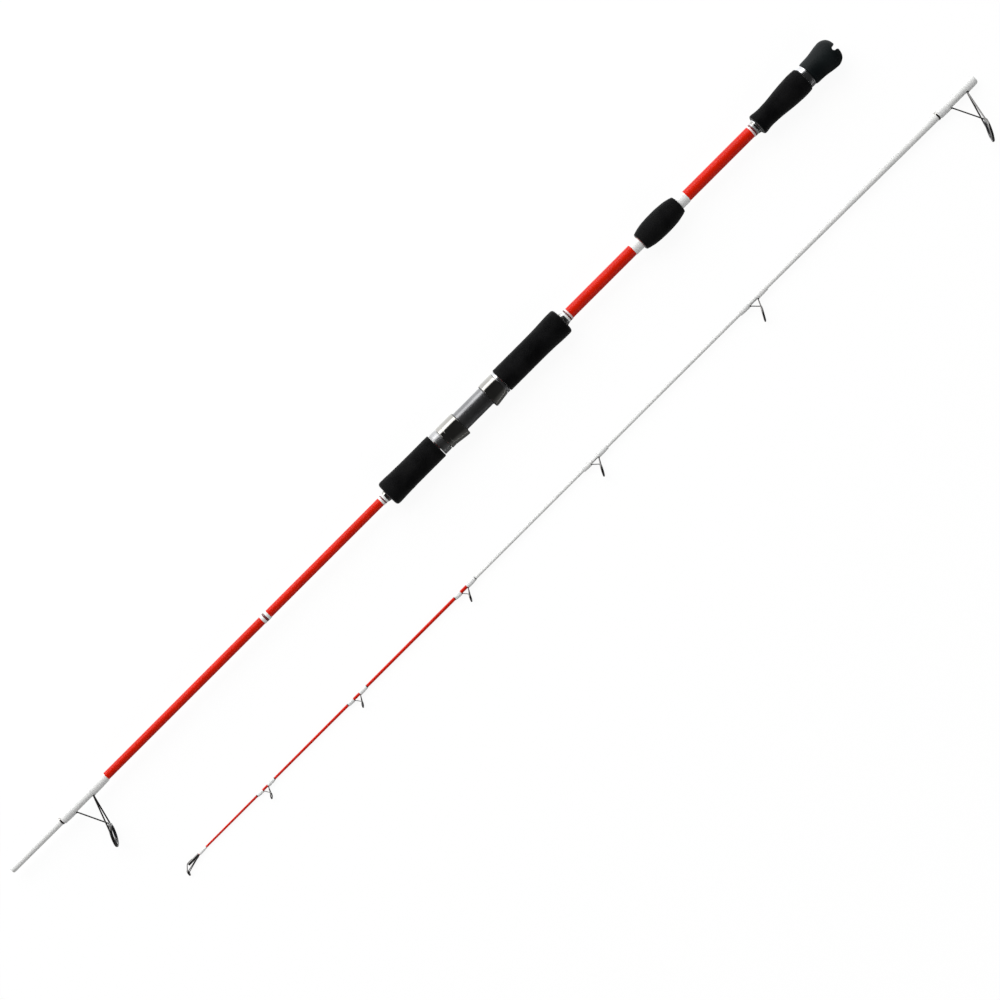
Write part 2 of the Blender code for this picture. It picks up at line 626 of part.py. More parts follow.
def tip_section_pose():
    """Return the height, roll and slope at which the tip section lies on the floor.

    It rests on its socket's wraps, on the first tip guide's ring and on the tip-top's ring.  Each
    ring touches where height - station * slope + reach * roll equals its radius.
    """
    height = wrap_bore(SOCKET_RADIUS + CLEARANCE, SOCKET_GUIDE.foot_width) + WRAP_WALL + FLOOR_GAP
    first = TIP_GUIDES[0]
    first_rise = first.radius + FLOOR_GAP - height
    last_rise = TIP_TOP_RING_RADIUS + FLOOR_GAP - height
    whole = first.ring * TIP_TOP_REACH - TIP_TOP_RING_STATION * first.reach
    roll = (first.ring * last_rise - TIP_TOP_RING_STATION * first_rise) / whole
    slope = (first.reach * last_rise - TIP_TOP_REACH * first_rise) / whole
    return height, math.asin(roll), math.asin(slope)


def build():
    """Build the whole rod."""
    clear_scene()
    butt = empty("butt_section_axis", (BUTT_START_X, BUTT_AXIS_Y, GIMBAL_RADIUS))
    gimbal(butt)
    grips(butt)
    blanks(butt)
    reel_seat(butt)
    moving_hood(butt)
    guide(butt, STRIPPER, blank_radius)

    height, roll, slope = tip_section_pose()
    tip = empty("tip_section_axis", (SOCKET_START_X, BUTT_AXIS_Y + AXIS_GAP, height), (roll, slope, 0.0))
    tip_blanks(tip)
    guide(tip, SOCKET_GUIDE, tip_radius)
    for spec in TIP_GUIDES:
        guide(tip, spec, tip_radius)
    tip_top(tip)


build()
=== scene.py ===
"""Visual model of a two-piece spinning rod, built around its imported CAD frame."""

import math
from collections import namedtuple
from functools import cache

import bmesh
import bpy
from bpy.props import FloatProperty, FloatVectorProperty, PointerProperty
from mathutils import Matrix, Vector, noise


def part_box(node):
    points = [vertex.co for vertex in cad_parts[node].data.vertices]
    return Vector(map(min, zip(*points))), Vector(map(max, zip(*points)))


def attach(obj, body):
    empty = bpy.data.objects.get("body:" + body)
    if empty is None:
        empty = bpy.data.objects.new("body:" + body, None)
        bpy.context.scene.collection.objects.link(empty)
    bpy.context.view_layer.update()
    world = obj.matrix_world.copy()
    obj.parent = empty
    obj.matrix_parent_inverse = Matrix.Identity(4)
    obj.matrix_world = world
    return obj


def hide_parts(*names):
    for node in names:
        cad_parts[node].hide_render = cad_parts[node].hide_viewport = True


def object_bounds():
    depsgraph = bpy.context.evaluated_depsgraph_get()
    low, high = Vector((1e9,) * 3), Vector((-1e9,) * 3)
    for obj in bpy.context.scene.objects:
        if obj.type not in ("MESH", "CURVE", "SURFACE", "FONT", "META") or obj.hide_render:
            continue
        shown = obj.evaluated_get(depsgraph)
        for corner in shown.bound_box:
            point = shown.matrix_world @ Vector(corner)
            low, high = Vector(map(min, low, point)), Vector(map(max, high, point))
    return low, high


bl_info = {
    "name": "Two-Piece Spinning Rod",
    "version": (1, 0, 0),
    "blender": (4, 5, 0),
    "location": "View3D > Sidebar > Rod",
    "description": "Builds the visible pieces of a two-piece spinning rod on its CAD frame",
    "category": "Object",
}

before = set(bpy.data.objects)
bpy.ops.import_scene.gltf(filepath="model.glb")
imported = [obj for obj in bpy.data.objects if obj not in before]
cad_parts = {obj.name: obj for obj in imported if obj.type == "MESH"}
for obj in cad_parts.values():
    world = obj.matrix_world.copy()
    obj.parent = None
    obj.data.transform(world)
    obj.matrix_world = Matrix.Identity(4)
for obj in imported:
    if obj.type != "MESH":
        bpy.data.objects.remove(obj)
CAD_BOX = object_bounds()

MM = 0.001

# Sides of turned pieces, from the widest grips to the thinnest wires
GRIP_SIDES = 96
BLANK_SIDES = 48
RING_STEPS = 72
WIRE_SIDES = 14

# Sizes below are in millimetres, and angles in degrees
CLEARANCE = 0.05
FOOT_THICKNESS = 0.45
EPOXY_TAPER = 0.9
WRAP_BULGE = 0.3
BORE_GAP = 0.02

GIMBAL_DOME = 10.0
GIMBAL_NOSE_RADIUS = 7.0
GIMBAL_SOCKET_DEPTH = 24.0
GIMBAL_VOXEL = 0.34
# Half width of a gimbal slot against depth from the end of the butt
GIMBAL_SLOT = ((-3.0, 5.2), (0.0, 3.6), (1.1, 2.75), (2.6, 2.2), (4.6, 2.1), (5.7, 1.5), (6.3, 0.0))
COLLAR_RADIUS = 11.8
COLLAR_GROOVE = 11.45

HOOD_RADIUS = 12.4
HOOD_BORE = 11.65
HOOD_FLARE = 2.1
HOOD_REACH = 16.1
LINER_RADIUS = 11.5
LINER_BORE = 10.62
BARREL_RADIUS = 10.5
BARREL_BORE = 8.6
BED_HEIGHT = 9.8
BED_PLACE = (20.4, 55.2)
THREAD_PLACE = 58.8
THREAD_ROOT = 9.75
NUT_RADIUS = 12.0
NUT_GROOVE = 11.8
NUT_BORE = 10.52

BAND_RING = 3.1
SPIGOT_GLUED = 3.25
SPIGOT_SHOULDER = 3.5
SOCKET_BORE = (3.62, 3.42)
SOCKET_FLOOR = (70.0, 74.0)
SOLID_TIP_CORE = 0.95

# Outer radius of the tip section's blank against station, in millimetres
TIP_TAPER = ((0.3, 4.2), (50.0, 4.2), (54.0, 4.05), (140.0, 3.35), (300.0, 2.3), (692.0, 1.75), (1070.0, 1.0))
BLANK_TAPER = ((396.0, 4.6), (1049.0, 4.1))
HANDLE_TAPER = ((13.5, 6.1), (536.0, 5.7))

Guide = namedtuple("Guide", "name wire tilt foot_width end_lines")
BUTT_GUIDES = (Guide("stripper_guide", 0.85, 25.7, 1.8, False),)
TIP_GUIDES = (
    Guide("socket_guide", 0.85, 25.7, 1.8, False),
    Guide("tip_guide_1", 0.6, 30.0, 1.4, False),
    Guide("tip_guide_2", 0.55, 28.5, 1.2, False),
    Guide("tip_guide_3", 0.45, 26.5, 1.0, True),
    Guide("tip_guide_4", 0.4, 33.0, 0.9, True),
    Guide("tip_guide_5", 0.4, 35.0, 0.9, True),
)


# ---------------------------------------------------------------- measures


def middle(low, high):
    """Return the point halfway between two corners."""
    return (low + high) / 2


class Section:
    """One of the rod's two sections: its axes, in millimetres, measured from the CAD nodes on it."""

    def __init__(self, body, start, first, last, ring, taper):
        origin, end = middle(*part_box(first)), middle(*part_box(last))
        along = (end - origin).normalized()
        reach = middle(*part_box(ring)) - origin
        reach = (reach - along * reach.dot(along)).normalized()
        turn = Matrix((along, reach, along.cross(reach))).transposed().to_4x4()
        self.body = body
        self.taper = taper
        self.placing = Matrix.Translation(origin) @ turn @ Matrix.Scale(MM, 4)
        self.placing = self.placing @ Matrix.Translation((self.box(start)[0].x, 0.0, 0.0))

    def box(self, node):
        """Return a CAD node's lowest and highest corners along this section's axes."""
        back = self.placing.inverted()
        points = [back @ vertex.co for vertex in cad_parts[node].data.vertices]
        return Vector(map(min, *points)), Vector(map(max, *points))

    def span(self, node):
        """Return the stations where a CAD node starts and ends."""
        low, high = self.box(node)
        return low.x, high.x

    def radius(self, node):
        """Return a turned CAD node's outer radius."""
        low, high = self.box(node)
        return (high.z - low.z) / 2

    def blank(self, station):
        """Return the blank's outer radius at a station."""
        return along_line(self.taper, station)


def along_line(points, station):
    """Read a value from (station, value) points joined by straight lines."""
    if station <= points[0][0]:
        return points[0][1]
    for (start, first), (end, last) in zip(points, points[1:]):
        if station <= end:
            return first + (last - first) * (station - start) / (end - start)
    return points[-1][1]


def eased(part):
    """Ease a share from 0 to 1."""
    part = min(1.0, max(0.0, part))
    return part * part * (3 - 2 * part)


def flowing(points, step):
    """Return points about a step apart on the smooth curve through (station, radius) points."""
    slopes = []
    for index in range(len(points)):
        before, after = points[max(index - 1, 0)], points[min(index + 1, len(points) - 1)]
        slopes.append((after[1] - before[1]) / (after[0] - before[0]))
    curve = [points[0]]
    for index, ((x0, r0), (x1, r1)) in enumerate(zip(points, points[1:])):
        width = x1 - x0
        count = max(1, round(width / step))
        for place in range(1, count + 1):
            t = place / count
            h00, h10 = (1 + 2 * t) * (1 - t) ** 2, t * (1 - t) ** 2
            h01, h11 = t * t * (3 - 2 * t), t * t * (t - 1)
            radius = h00 * r0 + h10 * width * slopes[index] + h01 * r1 + h11 * width * slopes[index + 1]
            curve.append((x0 + width * t, radius))
    return curve


def rounded(points, closed=True, steps=6):
    """Round the corners of an outline of (station, radius, rounding) points."""
    outline = []
    count = len(points)
    for index, (x, r, rounding) in enumerate(points):
        here = Vector((x, r))
        last = not closed and index in (0, count - 1)
        if rounding <= 0 or last:
            outline.append((x, r))
            continue
        before = Vector(points[index - 1][:2]) - here
        after = Vector(points[(index + 1) % count][:2]) - here
        start = here + before.normalized() * min(rounding, before.length * 0.48)
        end = here + after.normalized() * min(rounding, after.length * 0.48)
        for step in range(steps + 1):
            t = step / steps
            point = start * (1 - t) ** 2 + here * 2 * t * (1 - t) + end * t * t
            outline.append((point.x, point.y))
    return outline


def bent(points, rounding, steps=7):
    """Return a path through points whose inner corners are rounded."""
    points = [Vector(point) for point in points]
    path = [points[0]]
    for before, here, after in zip(points, points[1:], points[2:]):
        start = here + (before - here).normalized() * min(rounding, (before - here).length * 0.48)
        end = here + (after - here).normalized() * min(rounding, (after - here).length * 0.48)
        for step in range(steps + 1):
            t = step / steps
            path.append(start * (1 - t) ** 2 + here * 2 * t * (1 - t) + end * t * t)
    path.append(points[-1])
    return path


# ------------------------------------------------------------------ meshes


def skin(bm, near, far):
    """Join two loops of vertices, either of which may be a single vertex."""
    count = max(len(near), len(far))
    for index in range(count):
        following = (index + 1) % count
        if len(near) == 1:
            bm.faces.new((near[0], far[index], far[following]))
        elif len(far) == 1:
            bm.faces.new((near[index], near[following], far[0]))
        else:
            bm.faces.new((near[index], near[following], far[following], far[index]))


def add_turned(bm, outline, sides, placing=Matrix.Identity(4)):
    """Turn (station, radius) points about X; a radius may be a function of the angle from +Y."""
    loops = []
    for station, radius in outline:
        if not callable(radius) and radius < 1e-6:
            loops.append([bm.verts.new(placing @ Vector((station, 0.0, 0.0)))])
            continue
        loop = []
        for index in range(sides):
            angle = 2 * math.pi * index / sides
            reach = radius(angle) if callable(radius) else radius
            point = Vector((station, reach * math.cos(angle), reach * math.sin(angle)))
            loop.append(bm.verts.new(placing @ point))
        loops.append(loop)
    for near, far in zip(loops, loops[1:]):
        skin(bm, near, far)
    if len(loops[0]) > 1:
        skin(bm, loops[-1], loops[0])


def add_wire(bm, path, radii, sides=WIRE_SIDES, flatness=1.0):
    """Sweep a round or flattened wire along a path, with domed ends."""
    path = [Vector(point) for point in path]
    if not isinstance(radii, (list, tuple)):
        radii = [radii] * len(path)
    side = Vector((0.0, 0.0, 1.0))
    loops = []
    for index, (point, radius) in enumerate(zip(path, radii)):
        along = (path[min(index + 1, len(path) - 1)] - path[max(index - 1, 0)]).normalized()
        side = (side - along * side.dot(along)).normalized()
        across = along.cross(side)
        loops.append([bm.verts.new(point + side * (radius * math.cos(2 * math.pi * step / sides))
                                   + across * (radius * flatness * math.sin(2 * math.pi * step / sides)))
                      for step in range(sides)])
    for near, far in zip(loops, loops[1:]):
        skin(bm, near, far)
    for loop, point, inward in ((loops[0], path[0], path[1]), (loops[-1], path[-1], path[-2])):
        out = (point - inward).normalized() * radii[0] * 0.4
        skin(bm, loop, [bm.verts.new(point + out)])


def finish_piece(bm, name, section, finish, nodes=(), body=None, sharp=35.0, slot=None):
    """Turn a mesh built in a section's millimetres into a finished piece riding on its body."""
    bmesh.ops.transform(bm, matrix=section.placing, verts=bm.verts)
    bmesh.ops.recalc_face_normals(bm, faces=bm.faces)
    mesh = bpy.data.meshes.new(name)
    bm.to_mesh(mesh)
    bm.free()
    return finish_mesh(mesh, name, finish, nodes, body or section.body, sharp)


def finish_mesh(mesh, name, finish, nodes, body, sharp=35.0):
    """Make a piece from a mesh that is already in place."""
    mesh.shade_smooth()
    mesh.set_sharp_from_angle(angle=math.radians(sharp))
    mesh.materials.clear()
    mesh.materials.append(finish_of(finish))
    piece = bpy.data.objects.new(name, mesh)
    bpy.context.scene.collection.objects.link(piece)
    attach(piece, body)
    if nodes:
        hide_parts(*nodes)
    return piece


def turned(name, section, outline, finish, nodes=(), sides=BLANK_SIDES, **options):
    """Make one turned piece from an outline along a section's axis."""
    bm = bmesh.new()
    add_turned(bm, outline, sides)
    return finish_piece(bm, name, section, finish, nodes, **options)


def ring_outline(span, outer, inner, rounding):
    """Return the outline of a ring or tube; outer and inner are radii at its start and end."""
    (start, end), (wide, narrow) = span, outer
    return rounded([(start, inner[0], 0.0), (start, wide, rounding), (end, narrow, rounding),
                    (end, inner[1], 0.0)])


# --------------------------------------------------------------- materials


def add_node(tree, kind, values=None, **settings):
    """Add a shader or geometry node, set its attributes, and its sockets by name or number."""
    node = tree.nodes.new(kind)
    for key, value in settings.items():
        setattr(node, key, value)
    for key, value in (values or {}).items():
        if isinstance(value, bpy.types.NodeSocket):
            tree.links.new(value, node.inputs[key])
        else:
            node.inputs[key].default_value = value
    return node


def worked(tree, operation, *values):
    """Add a math node that works on the values, and return its result."""
    return add_node(tree, "ShaderNodeMath", dict(enumerate(values)), operation=operation).outputs[0]


def shader_group(name, sockets, outputs):
    """Return a new shader group, its inputs node and its outputs node."""
    tree = bpy.data.node_groups.new(name, "ShaderNodeTree")
    for label, value in sockets:
        socket = tree.interface.new_socket(name=label, in_out="INPUT", socket_type="NodeSocketFloat")
        socket.default_value = value
    for label in outputs:
        tree.interface.new_socket(name=label, in_out="OUTPUT", socket_type="NodeSocketFloat")
    return tree, tree.nodes.new("NodeGroupInput"), tree.nodes.new("NodeGroupOutput")


@cache
def grain_group():
    """Fine grain: pores and mottling read from object coordinates."""
    tree, given, result = shader_group("rod_grain", (("Pores per Metre", 2000.0), ("Mottle per Metre", 60.0)),
                                       ("Pores", "Mottle"))
    place = add_node(tree, "ShaderNodeTexCoord").outputs["Object"]
    fine = add_node(tree, "ShaderNodeTexNoise", {"Vector": place, "Scale": given.outputs[0], "Detail": 4.0,
                                                 "Roughness": 0.6})
    broad = add_node(tree, "ShaderNodeTexNoise", {"Vector": place, "Scale": given.outputs[1], "Detail": 3.0})
    tree.links.new(fine.outputs["Fac"], result.inputs["Pores"])
    tree.links.new(broad.outputs["Fac"], result.inputs["Mottle"])
    return tree


@cache
def lines_group():
    """Lines round the rod: thread turns or lathe marks, from the place along the rod."""
    tree, given, result = shader_group("rod_lines", (("Lines per Metre", 3500.0), ("Waver", 0.4)), ("Height",))
    place = add_node(tree, "ShaderNodeTexCoord").outputs["Object"]
    split = add_node(tree, "ShaderNodeSeparateXYZ", {0: place})
    wobble = add_node(tree, "ShaderNodeTexNoise", {"Vector": place, "Scale": 700.0, "Detail": 2.0})
    shift = worked(tree, "MULTIPLY", wobble.outputs["Fac"], given.outputs["Waver"])
    turns = worked(tree, "MULTIPLY_ADD", split.outputs["X"], given.outputs["Lines per Metre"], shift)
    tree.links.new(worked(tree, "PINGPONG", turns, 1.0), result.inputs["Height"])
    return tree


@cache
def scuff_group():
    """Handling scuffs: sparse streaks drawn out round the rod."""
    tree, given, result = shader_group("rod_scuffs", (("Streaks per Metre", 500.0), ("Threshold", 0.66)),
                                       ("Mask",))
    place = add_node(tree, "ShaderNodeTexCoord").outputs["Object"]
    drawn = add_node(tree, "ShaderNodeMapping", {"Vector": place, "Scale": (1.0, 0.22, 0.22)})
    streaks = add_node(tree, "ShaderNodeTexNoise", {"Vector": drawn.outputs[0], "Scale": given.outputs[0],
                                                    "Detail": 5.0, "Roughness": 0.65})
    edge = worked(tree, "ADD", given.outputs["Threshold"], 0.08)
    cut = add_node(tree, "ShaderNodeMapRange", {"Value": streaks.outputs["Fac"], 1: given.outputs["Threshold"],
                                                2: edge})
    tree.links.new(cut.outputs[0], result.inputs["Mask"])
    return tree


def placed_group(tree, group, **values):
    """Place a shared shader group in a material with its own values."""
    node = add_node(tree, "ShaderNodeGroup", node_tree=group)
    for key, value in values.items():
        node.inputs[key.replace("_", " ")].default_value = value
    return node


def mixed(tree, share, first, second):
    """Blend two colours by a share."""
    blend = add_node(tree, "ShaderNodeMix", data_type="RGBA")
    tree.links.new(share, blend.inputs["Factor"])
    for socket, colour in ((blend.inputs[6], first), (blend.inputs[7], second)):
        if isinstance(colour, bpy.types.NodeSocket):
            tree.links.new(colour, socket)
        else:
            socket.default_value = (*colour, 1.0)
    return blend.outputs[2]


def ranged(tree, value, low, high, start=0.0, end=1.0):
    """Map a value from start..end to low..high."""
    node = add_node(tree, "ShaderNodeMapRange", {"Value": value, 1: start, 2: end, 3: low, 4: high})
    return node.outputs[0]


Finish = namedtuple("Finish", "colour shade roughness metallic coat pores lines relief scuffs specular")


def thread_finish(colour, shade, roughness=(0.34, 0.46), metallic=0.0, coat=1.0, specular=0.5):
    """Return the finish of thread wound round the blank and coated with epoxy."""
    return Finish(colour, shade, roughness, metallic, coat, 1500, 3400, 0.014, 0.74, specular)


FINISHES = {
    "orange_lacquer": Finish((0.56, 0.010, 0.001), (0.50, 0.008, 0.001), (0.26, 0.34), 0.0, 0.05, 900, 0, 0.0015,
                             0.72, 0.18),
    "white_lacquer": Finish((0.71, 0.71, 0.70), (0.67, 0.675, 0.665), (0.28, 0.36), 0.0, 0.15, 900, 0, 0.0015,
                            0.72, 0.3),
    "white_thread": thread_finish((0.71, 0.71, 0.70), (0.65, 0.655, 0.65), coat=0.4),
    "silver_thread": thread_finish((0.55, 0.55, 0.56), (0.42, 0.42, 0.43), (0.25, 0.35), 0.6, 0.8),
    "pale_thread": thread_finish((0.72, 0.60, 0.60), (0.62, 0.50, 0.50)),
    "red_thread": thread_finish((0.16, 0.03, 0.028), (0.09, 0.02, 0.02), specular=0.4),
    "dark_thread": thread_finish((0.03, 0.03, 0.032), (0.015, 0.015, 0.016), specular=0.4),
    "black_foam": Finish((0.0050, 0.0050, 0.0052), (0.0016, 0.0016, 0.0018), (0.80, 0.95), 0.0, 0.0, 2600, 0,
                         0.22, 0.80, 0.08),
    "black_rubber": Finish((0.0065, 0.0085, 0.0090), (0.0035, 0.0050, 0.0055), (0.50, 0.66), 0.0, 0.0, 3200, 0, 0.06,
                           0.72, 0.14),
    "graphite": Finish((0.25, 0.25, 0.255), (0.19, 0.19, 0.195), (0.26, 0.34), 0.95, 0.0, 2400, 1800, 0.006,
                       0.72, 0.5),
    "black_plastic": Finish((0.012, 0.012, 0.012), (0.008, 0.008, 0.008), (0.42, 0.55), 0.0, 0.0, 2400, 0, 0.02,
                            0.74, 0.25),
    "gunmetal": Finish((0.43, 0.42, 0.395), (0.35, 0.34, 0.32), (0.08, 0.13), 1.0, 0.0, 1200, 2600, 0.004,
                       0.72, 0.5),
    "guide_wire": Finish((0.22, 0.215, 0.21), (0.15, 0.147, 0.142), (0.16, 0.26), 1.0, 0.0, 1500, 0, 0.01,
                         0.70, 0.5),
    "bright_steel": Finish((0.62, 0.62, 0.63), (0.50, 0.50, 0.51), (0.16, 0.26), 1.0, 0.0, 1200, 2600, 0.006,
                           0.72, 0.5),
    "satin_steel": Finish((0.48, 0.48, 0.48), (0.40, 0.40, 0.405), (0.34, 0.42), 1.0, 0.0, 1200, 3000, 0.010,
                          0.72, 0.5),
    "ceramic": Finish((0.016, 0.016, 0.018), (0.010, 0.010, 0.011), (0.06, 0.12), 0.0, 0.5, 1500, 0, 0.002,
                      0.76, 0.5),
}


@cache
def finish_of(name):
    """Return the named finish as a procedural material, made on first use."""
    spec = FINISHES[name]
    look = bpy.context.scene.rod_look
    colour, shade = spec.colour, spec.shade
    if name == "orange_lacquer":
        colour = tuple(look.orange)
        shade = tuple(value * 0.88 for value in colour)
    made = bpy.data.materials.new(f"{name}_finish")
    made.use_nodes = True
    tree = made.node_tree
    shader = tree.nodes["Principled BSDF"]
    grain = placed_group(tree, grain_group(), Pores_per_Metre=spec.pores, Mottle_per_Metre=55.0)
    scuffs = placed_group(tree, scuff_group(), Streaks_per_Metre=420.0, Threshold=spec.scuffs)
    mottle = ranged(tree, grain.outputs["Mottle"], 0.0, 1.0, 0.35, 0.65)
    base = mixed(tree, mottle, shade, colour)
    worn = tuple(value * 0.7 + 0.03 for value in colour)
    worn_share = ranged(tree, scuffs.outputs["Mask"], 0.0, look.wear)
    tree.links.new(mixed(tree, worn_share, base, worn), shader.inputs["Base Color"])
    rough = ranged(tree, grain.outputs["Pores"], *spec.roughness, 0.3, 0.7)
    tree.links.new(worked(tree, "MULTIPLY_ADD", scuffs.outputs["Mask"], 0.12, rough),
                   shader.inputs["Roughness"])
    height = grain.outputs["Pores"]
    if spec.lines:
        lines = placed_group(tree, lines_group(), Lines_per_Metre=float(spec.lines), Waver=0.5)
        height = worked(tree, "MULTIPLY_ADD", grain.outputs["Pores"], 0.35, lines.outputs["Height"])
    bump = add_node(tree, "ShaderNodeBump", {"Strength": 1.0, "Distance": spec.relief * MM, "Height": height})
    tree.links.new(bump.outputs["Normal"], shader.inputs["Normal"])
    shader.inputs["Metallic"].default_value = spec.metallic
    shader.inputs["Coat Weight"].default_value = spec.coat
    shader.inputs["Coat Roughness"].default_value = 0.06
    shader.inputs["Specular IOR Level"].default_value = spec.specular
    if name == "black_foam":
        shader.inputs["Sheen Weight"].default_value = 0.22
        shader.inputs["Sheen Roughness"].default_value = 0.35
    return made


# ------------------------------------------------------------ butt section


def make_gimbal(butt):
    """Make the rubber gimbal: a flared, domed body with crossed, round-lipped slots, and its plated collar."""
    start, end = butt.span("gimbal_butt")
    width = butt.radius("gimbal_butt")
    profile = [(start, 0.0)]
    for step in range(15):
        angle = math.pi / 2 * step / 14
        profile.append((start + GIMBAL_DOME * (1 - math.cos(angle)),
                        GIMBAL_NOSE_RADIUS + (width - GIMBAL_NOSE_RADIUS) * math.sin(angle)))
    profile += flowing([(start + GIMBAL_DOME, width), (start + 15.0, width - 0.5), (start + 25.0, 13.1),
                        (end - 2.0, 12.6)], 1.0)[1:]
    bore = along_line(HANDLE_TAPER, end) + CLEARANCE
    profile += [(end - 1.0, 12.5), (end - 0.3, 12.2), (end, 11.7), (end, bore),
                (end - GIMBAL_SOCKET_DEPTH, bore), (end - GIMBAL_SOCKET_DEPTH, 0.0)]
    bm = bmesh.new()
    add_turned(bm, profile, GRIP_SIDES)
    bmesh.ops.recalc_face_normals(bm, faces=bm.faces)
    mesh = bpy.data.meshes.new("gimbal_rubber")
    bm.to_mesh(mesh)
    bm.free()
    blank = bpy.data.objects.new("gimbal_rubber_blank", mesh)
    bpy.context.scene.collection.objects.link(blank)
    cutters = []
    loop = [*GIMBAL_SLOT, *((depth, -half) for depth, half in reversed(GIMBAL_SLOT[:-1]))]
    for label, level in (("upright", False), ("level", True)):
        bm = bmesh.new()
        for depth in (-20.0, 20.0):
            for x, half in loop:
                bm.verts.new((start + x, depth, half) if level else (start + x, half, depth))
        bm.verts.ensure_lookup_table()
        near, far = list(bm.verts)[:len(loop)], list(bm.verts)[len(loop):]
        skin(bm, near, far)
        bm.faces.new(near)
        bm.faces.new(far)
        bmesh.ops.recalc_face_normals(bm, faces=bm.faces)
        cutter_mesh = bpy.data.meshes.new(f"gimbal_slot_{label}")
        bm.to_mesh(cutter_mesh)
        bm.free()
        cutter = bpy.data.objects.new(cutter_mesh.name, cutter_mesh)
        bpy.context.scene.collection.objects.link(cutter)
        cutters.append(cutter)
        cut = blank.modifiers.new(label, "BOOLEAN")
        cut.operation, cut.object = "DIFFERENCE", cutter
    even = blank.modifiers.new("even", "REMESH")
    even.mode, even.voxel_size = "VOXEL", GIMBAL_VOXEL
    soften = blank.modifiers.new("soften", "SMOOTH")
    soften.factor, soften.iterations = 0.5, 5
    graph = bpy.context.evaluated_depsgraph_get()
    mesh = bpy.data.meshes.new_from_object(blank.evaluated_get(graph))
    for item in (blank, *cutters):
        bpy.data.objects.remove(item, do_unlink=True)
    mesh.transform(butt.placing)
    mesh.name = "gimbal_rubber"
    finish_mesh(mesh, "gimbal_rubber", "black_rubber", ("gimbal_butt",), butt.body, 180.0)

    start, end = butt.span("gimbal_collar")
    bore = along_line(HANDLE_TAPER, start) + CLEARANCE
    outline = rounded([(start, bore, 0.0), (start, 11.6, 0.5), (start + 1.4, COLLAR_RADIUS, 0.3),
                       (start + 1.6, COLLAR_GROOVE, 0.2), (start + 2.1, COLLAR_GROOVE, 0.2),
                       (start + 2.3, COLLAR_RADIUS, 0.3), (end, 11.7, 0.5), (end, bore, 0.0)])
    turned("gimbal_collar_plated", butt, outline, "bright_steel", ("gimbal_collar",), GRIP_SIDES)


GRIPS = {
    "rear_grip": (((0.0, 12.9), (5.0, 13.4), (12.0, 13.45), (24.0, 12.7), (38.0, 11.2), (48.0, 10.55),
                   (54.0, 10.6), (60.0, 11.3), (63.0, 11.35)), (1.6, 1.8), HANDLE_TAPER),
    "mid_grip": (((0.0, 9.3), (4.0, 10.6), (12.0, 12.2), (25.7, 12.9), (39.4, 12.2), (47.4, 10.6), (51.4, 9.3)),
                 (1.4, 1.4), HANDLE_TAPER),
    "seat_rear_grip": (((0.0, 14.1), (6.0, 14.2), (14.0, 14.0), (26.0, 13.4), (40.0, 13.2), (82.4, 13.2)),
                       (3.0, 1.2), HANDLE_TAPER),
    "foregrip": (((0.0, 13.2), (36.0, 13.2), (50.0, 13.45), (60.0, 13.85), (66.8, 13.8)), (1.2, 3.0), BLANK_TAPER),
}


def make_foam_grips(butt):
    """Make the turned foam grips, each with soft ends and a slightly uneven, hand-sanded surface."""
    for name, (profile, ends, taper) in GRIPS.items():
        start, end = butt.span(name)
        stretch = (end - start) / profile[-1][0]
        points = [(start + x * stretch, r) for x, r in profile]
        outer = flowing(points, 0.9)
        inner = [point for point in outer if start + ends[0] < point[0] < end - ends[1]]
        first, last = along_line(outer, start + ends[0]), along_line(outer, end - ends[1])
        outline = [(start, along_line(taper, start) + CLEARANCE)]
        outline += [(start + ends[0] * (1 - math.cos(math.pi / 2 * step / 8)),
                     first - ends[0] * (1 - math.sin(math.pi / 2 * step / 8))) for step in range(9)]
        outline += inner
        outline += [(end - ends[1] * (1 - math.cos(math.pi / 2 * step / 8)),
                     last - ends[1] * (1 - math.sin(math.pi / 2 * step / 8))) for step in range(8, -1, -1)]
        outline.append((end, along_line(taper, end) + CLEARANCE))
        bm = bmesh.new()
        add_turned(bm, outline, GRIP_SIDES)
        bore = outline[0][1] + 0.2
        for vertex in bm.verts:
            radial = math.hypot(vertex.co.y, vertex.co.z)
            if radial > bore:
                dent = noise.noise(vertex.co * 0.22) * 0.09 + noise.noise(vertex.co * 0.9) * 0.035
                vertex.co.y *= 1 + (dent - 0.09) / radial
                vertex.co.z *= 1 + (dent - 0.09) / radial
        piece = finish_piece(bm, f"{name}_foam", butt, "black_foam", (name,), sharp=60.0)


# Trim bands from the grip outward: name, width, radius above the blank at each side, finish
TRIMS = {
    "rear_grip": (1, (("check", 1.4, 1.5, 1.35, "bright_steel"), ("dark_ring", 1.8, 1.1, 0.9, "gunmetal"),
                      ("silver_ring", 1.9, 0.62, 0.55, "silver_thread"), ("red_ring", 1.9, 0.5, 0.5, "red_thread"),
                      ("pale_ring", 1.85, 0.46, 0.3, "pale_thread"))),
    "seat_rear_grip": (-1, (("check", 1.3, 1.5, 1.35, "gunmetal"), ("silver_ring", 1.9, 1.1, 0.8, "bright_steel"),
                            ("white_ring", 2.3, 0.62, 0.5, "white_thread"), ("red_ring", 1.5, 0.5, 0.5, "red_thread"),
                            ("pale_ring", 1.85, 0.46, 0.3, "pale_thread"))),
    "foregrip": (1, (("check", 2.8, 1.45, 0.95, "gunmetal"), ("white_ring", 2.4, 0.6, 0.5, "white_thread"),
                     ("red_ring", 1.3, 0.5, 0.5, "red_thread"), ("pale_ring", 2.35, 0.46, 0.3, "white_thread"))),
}
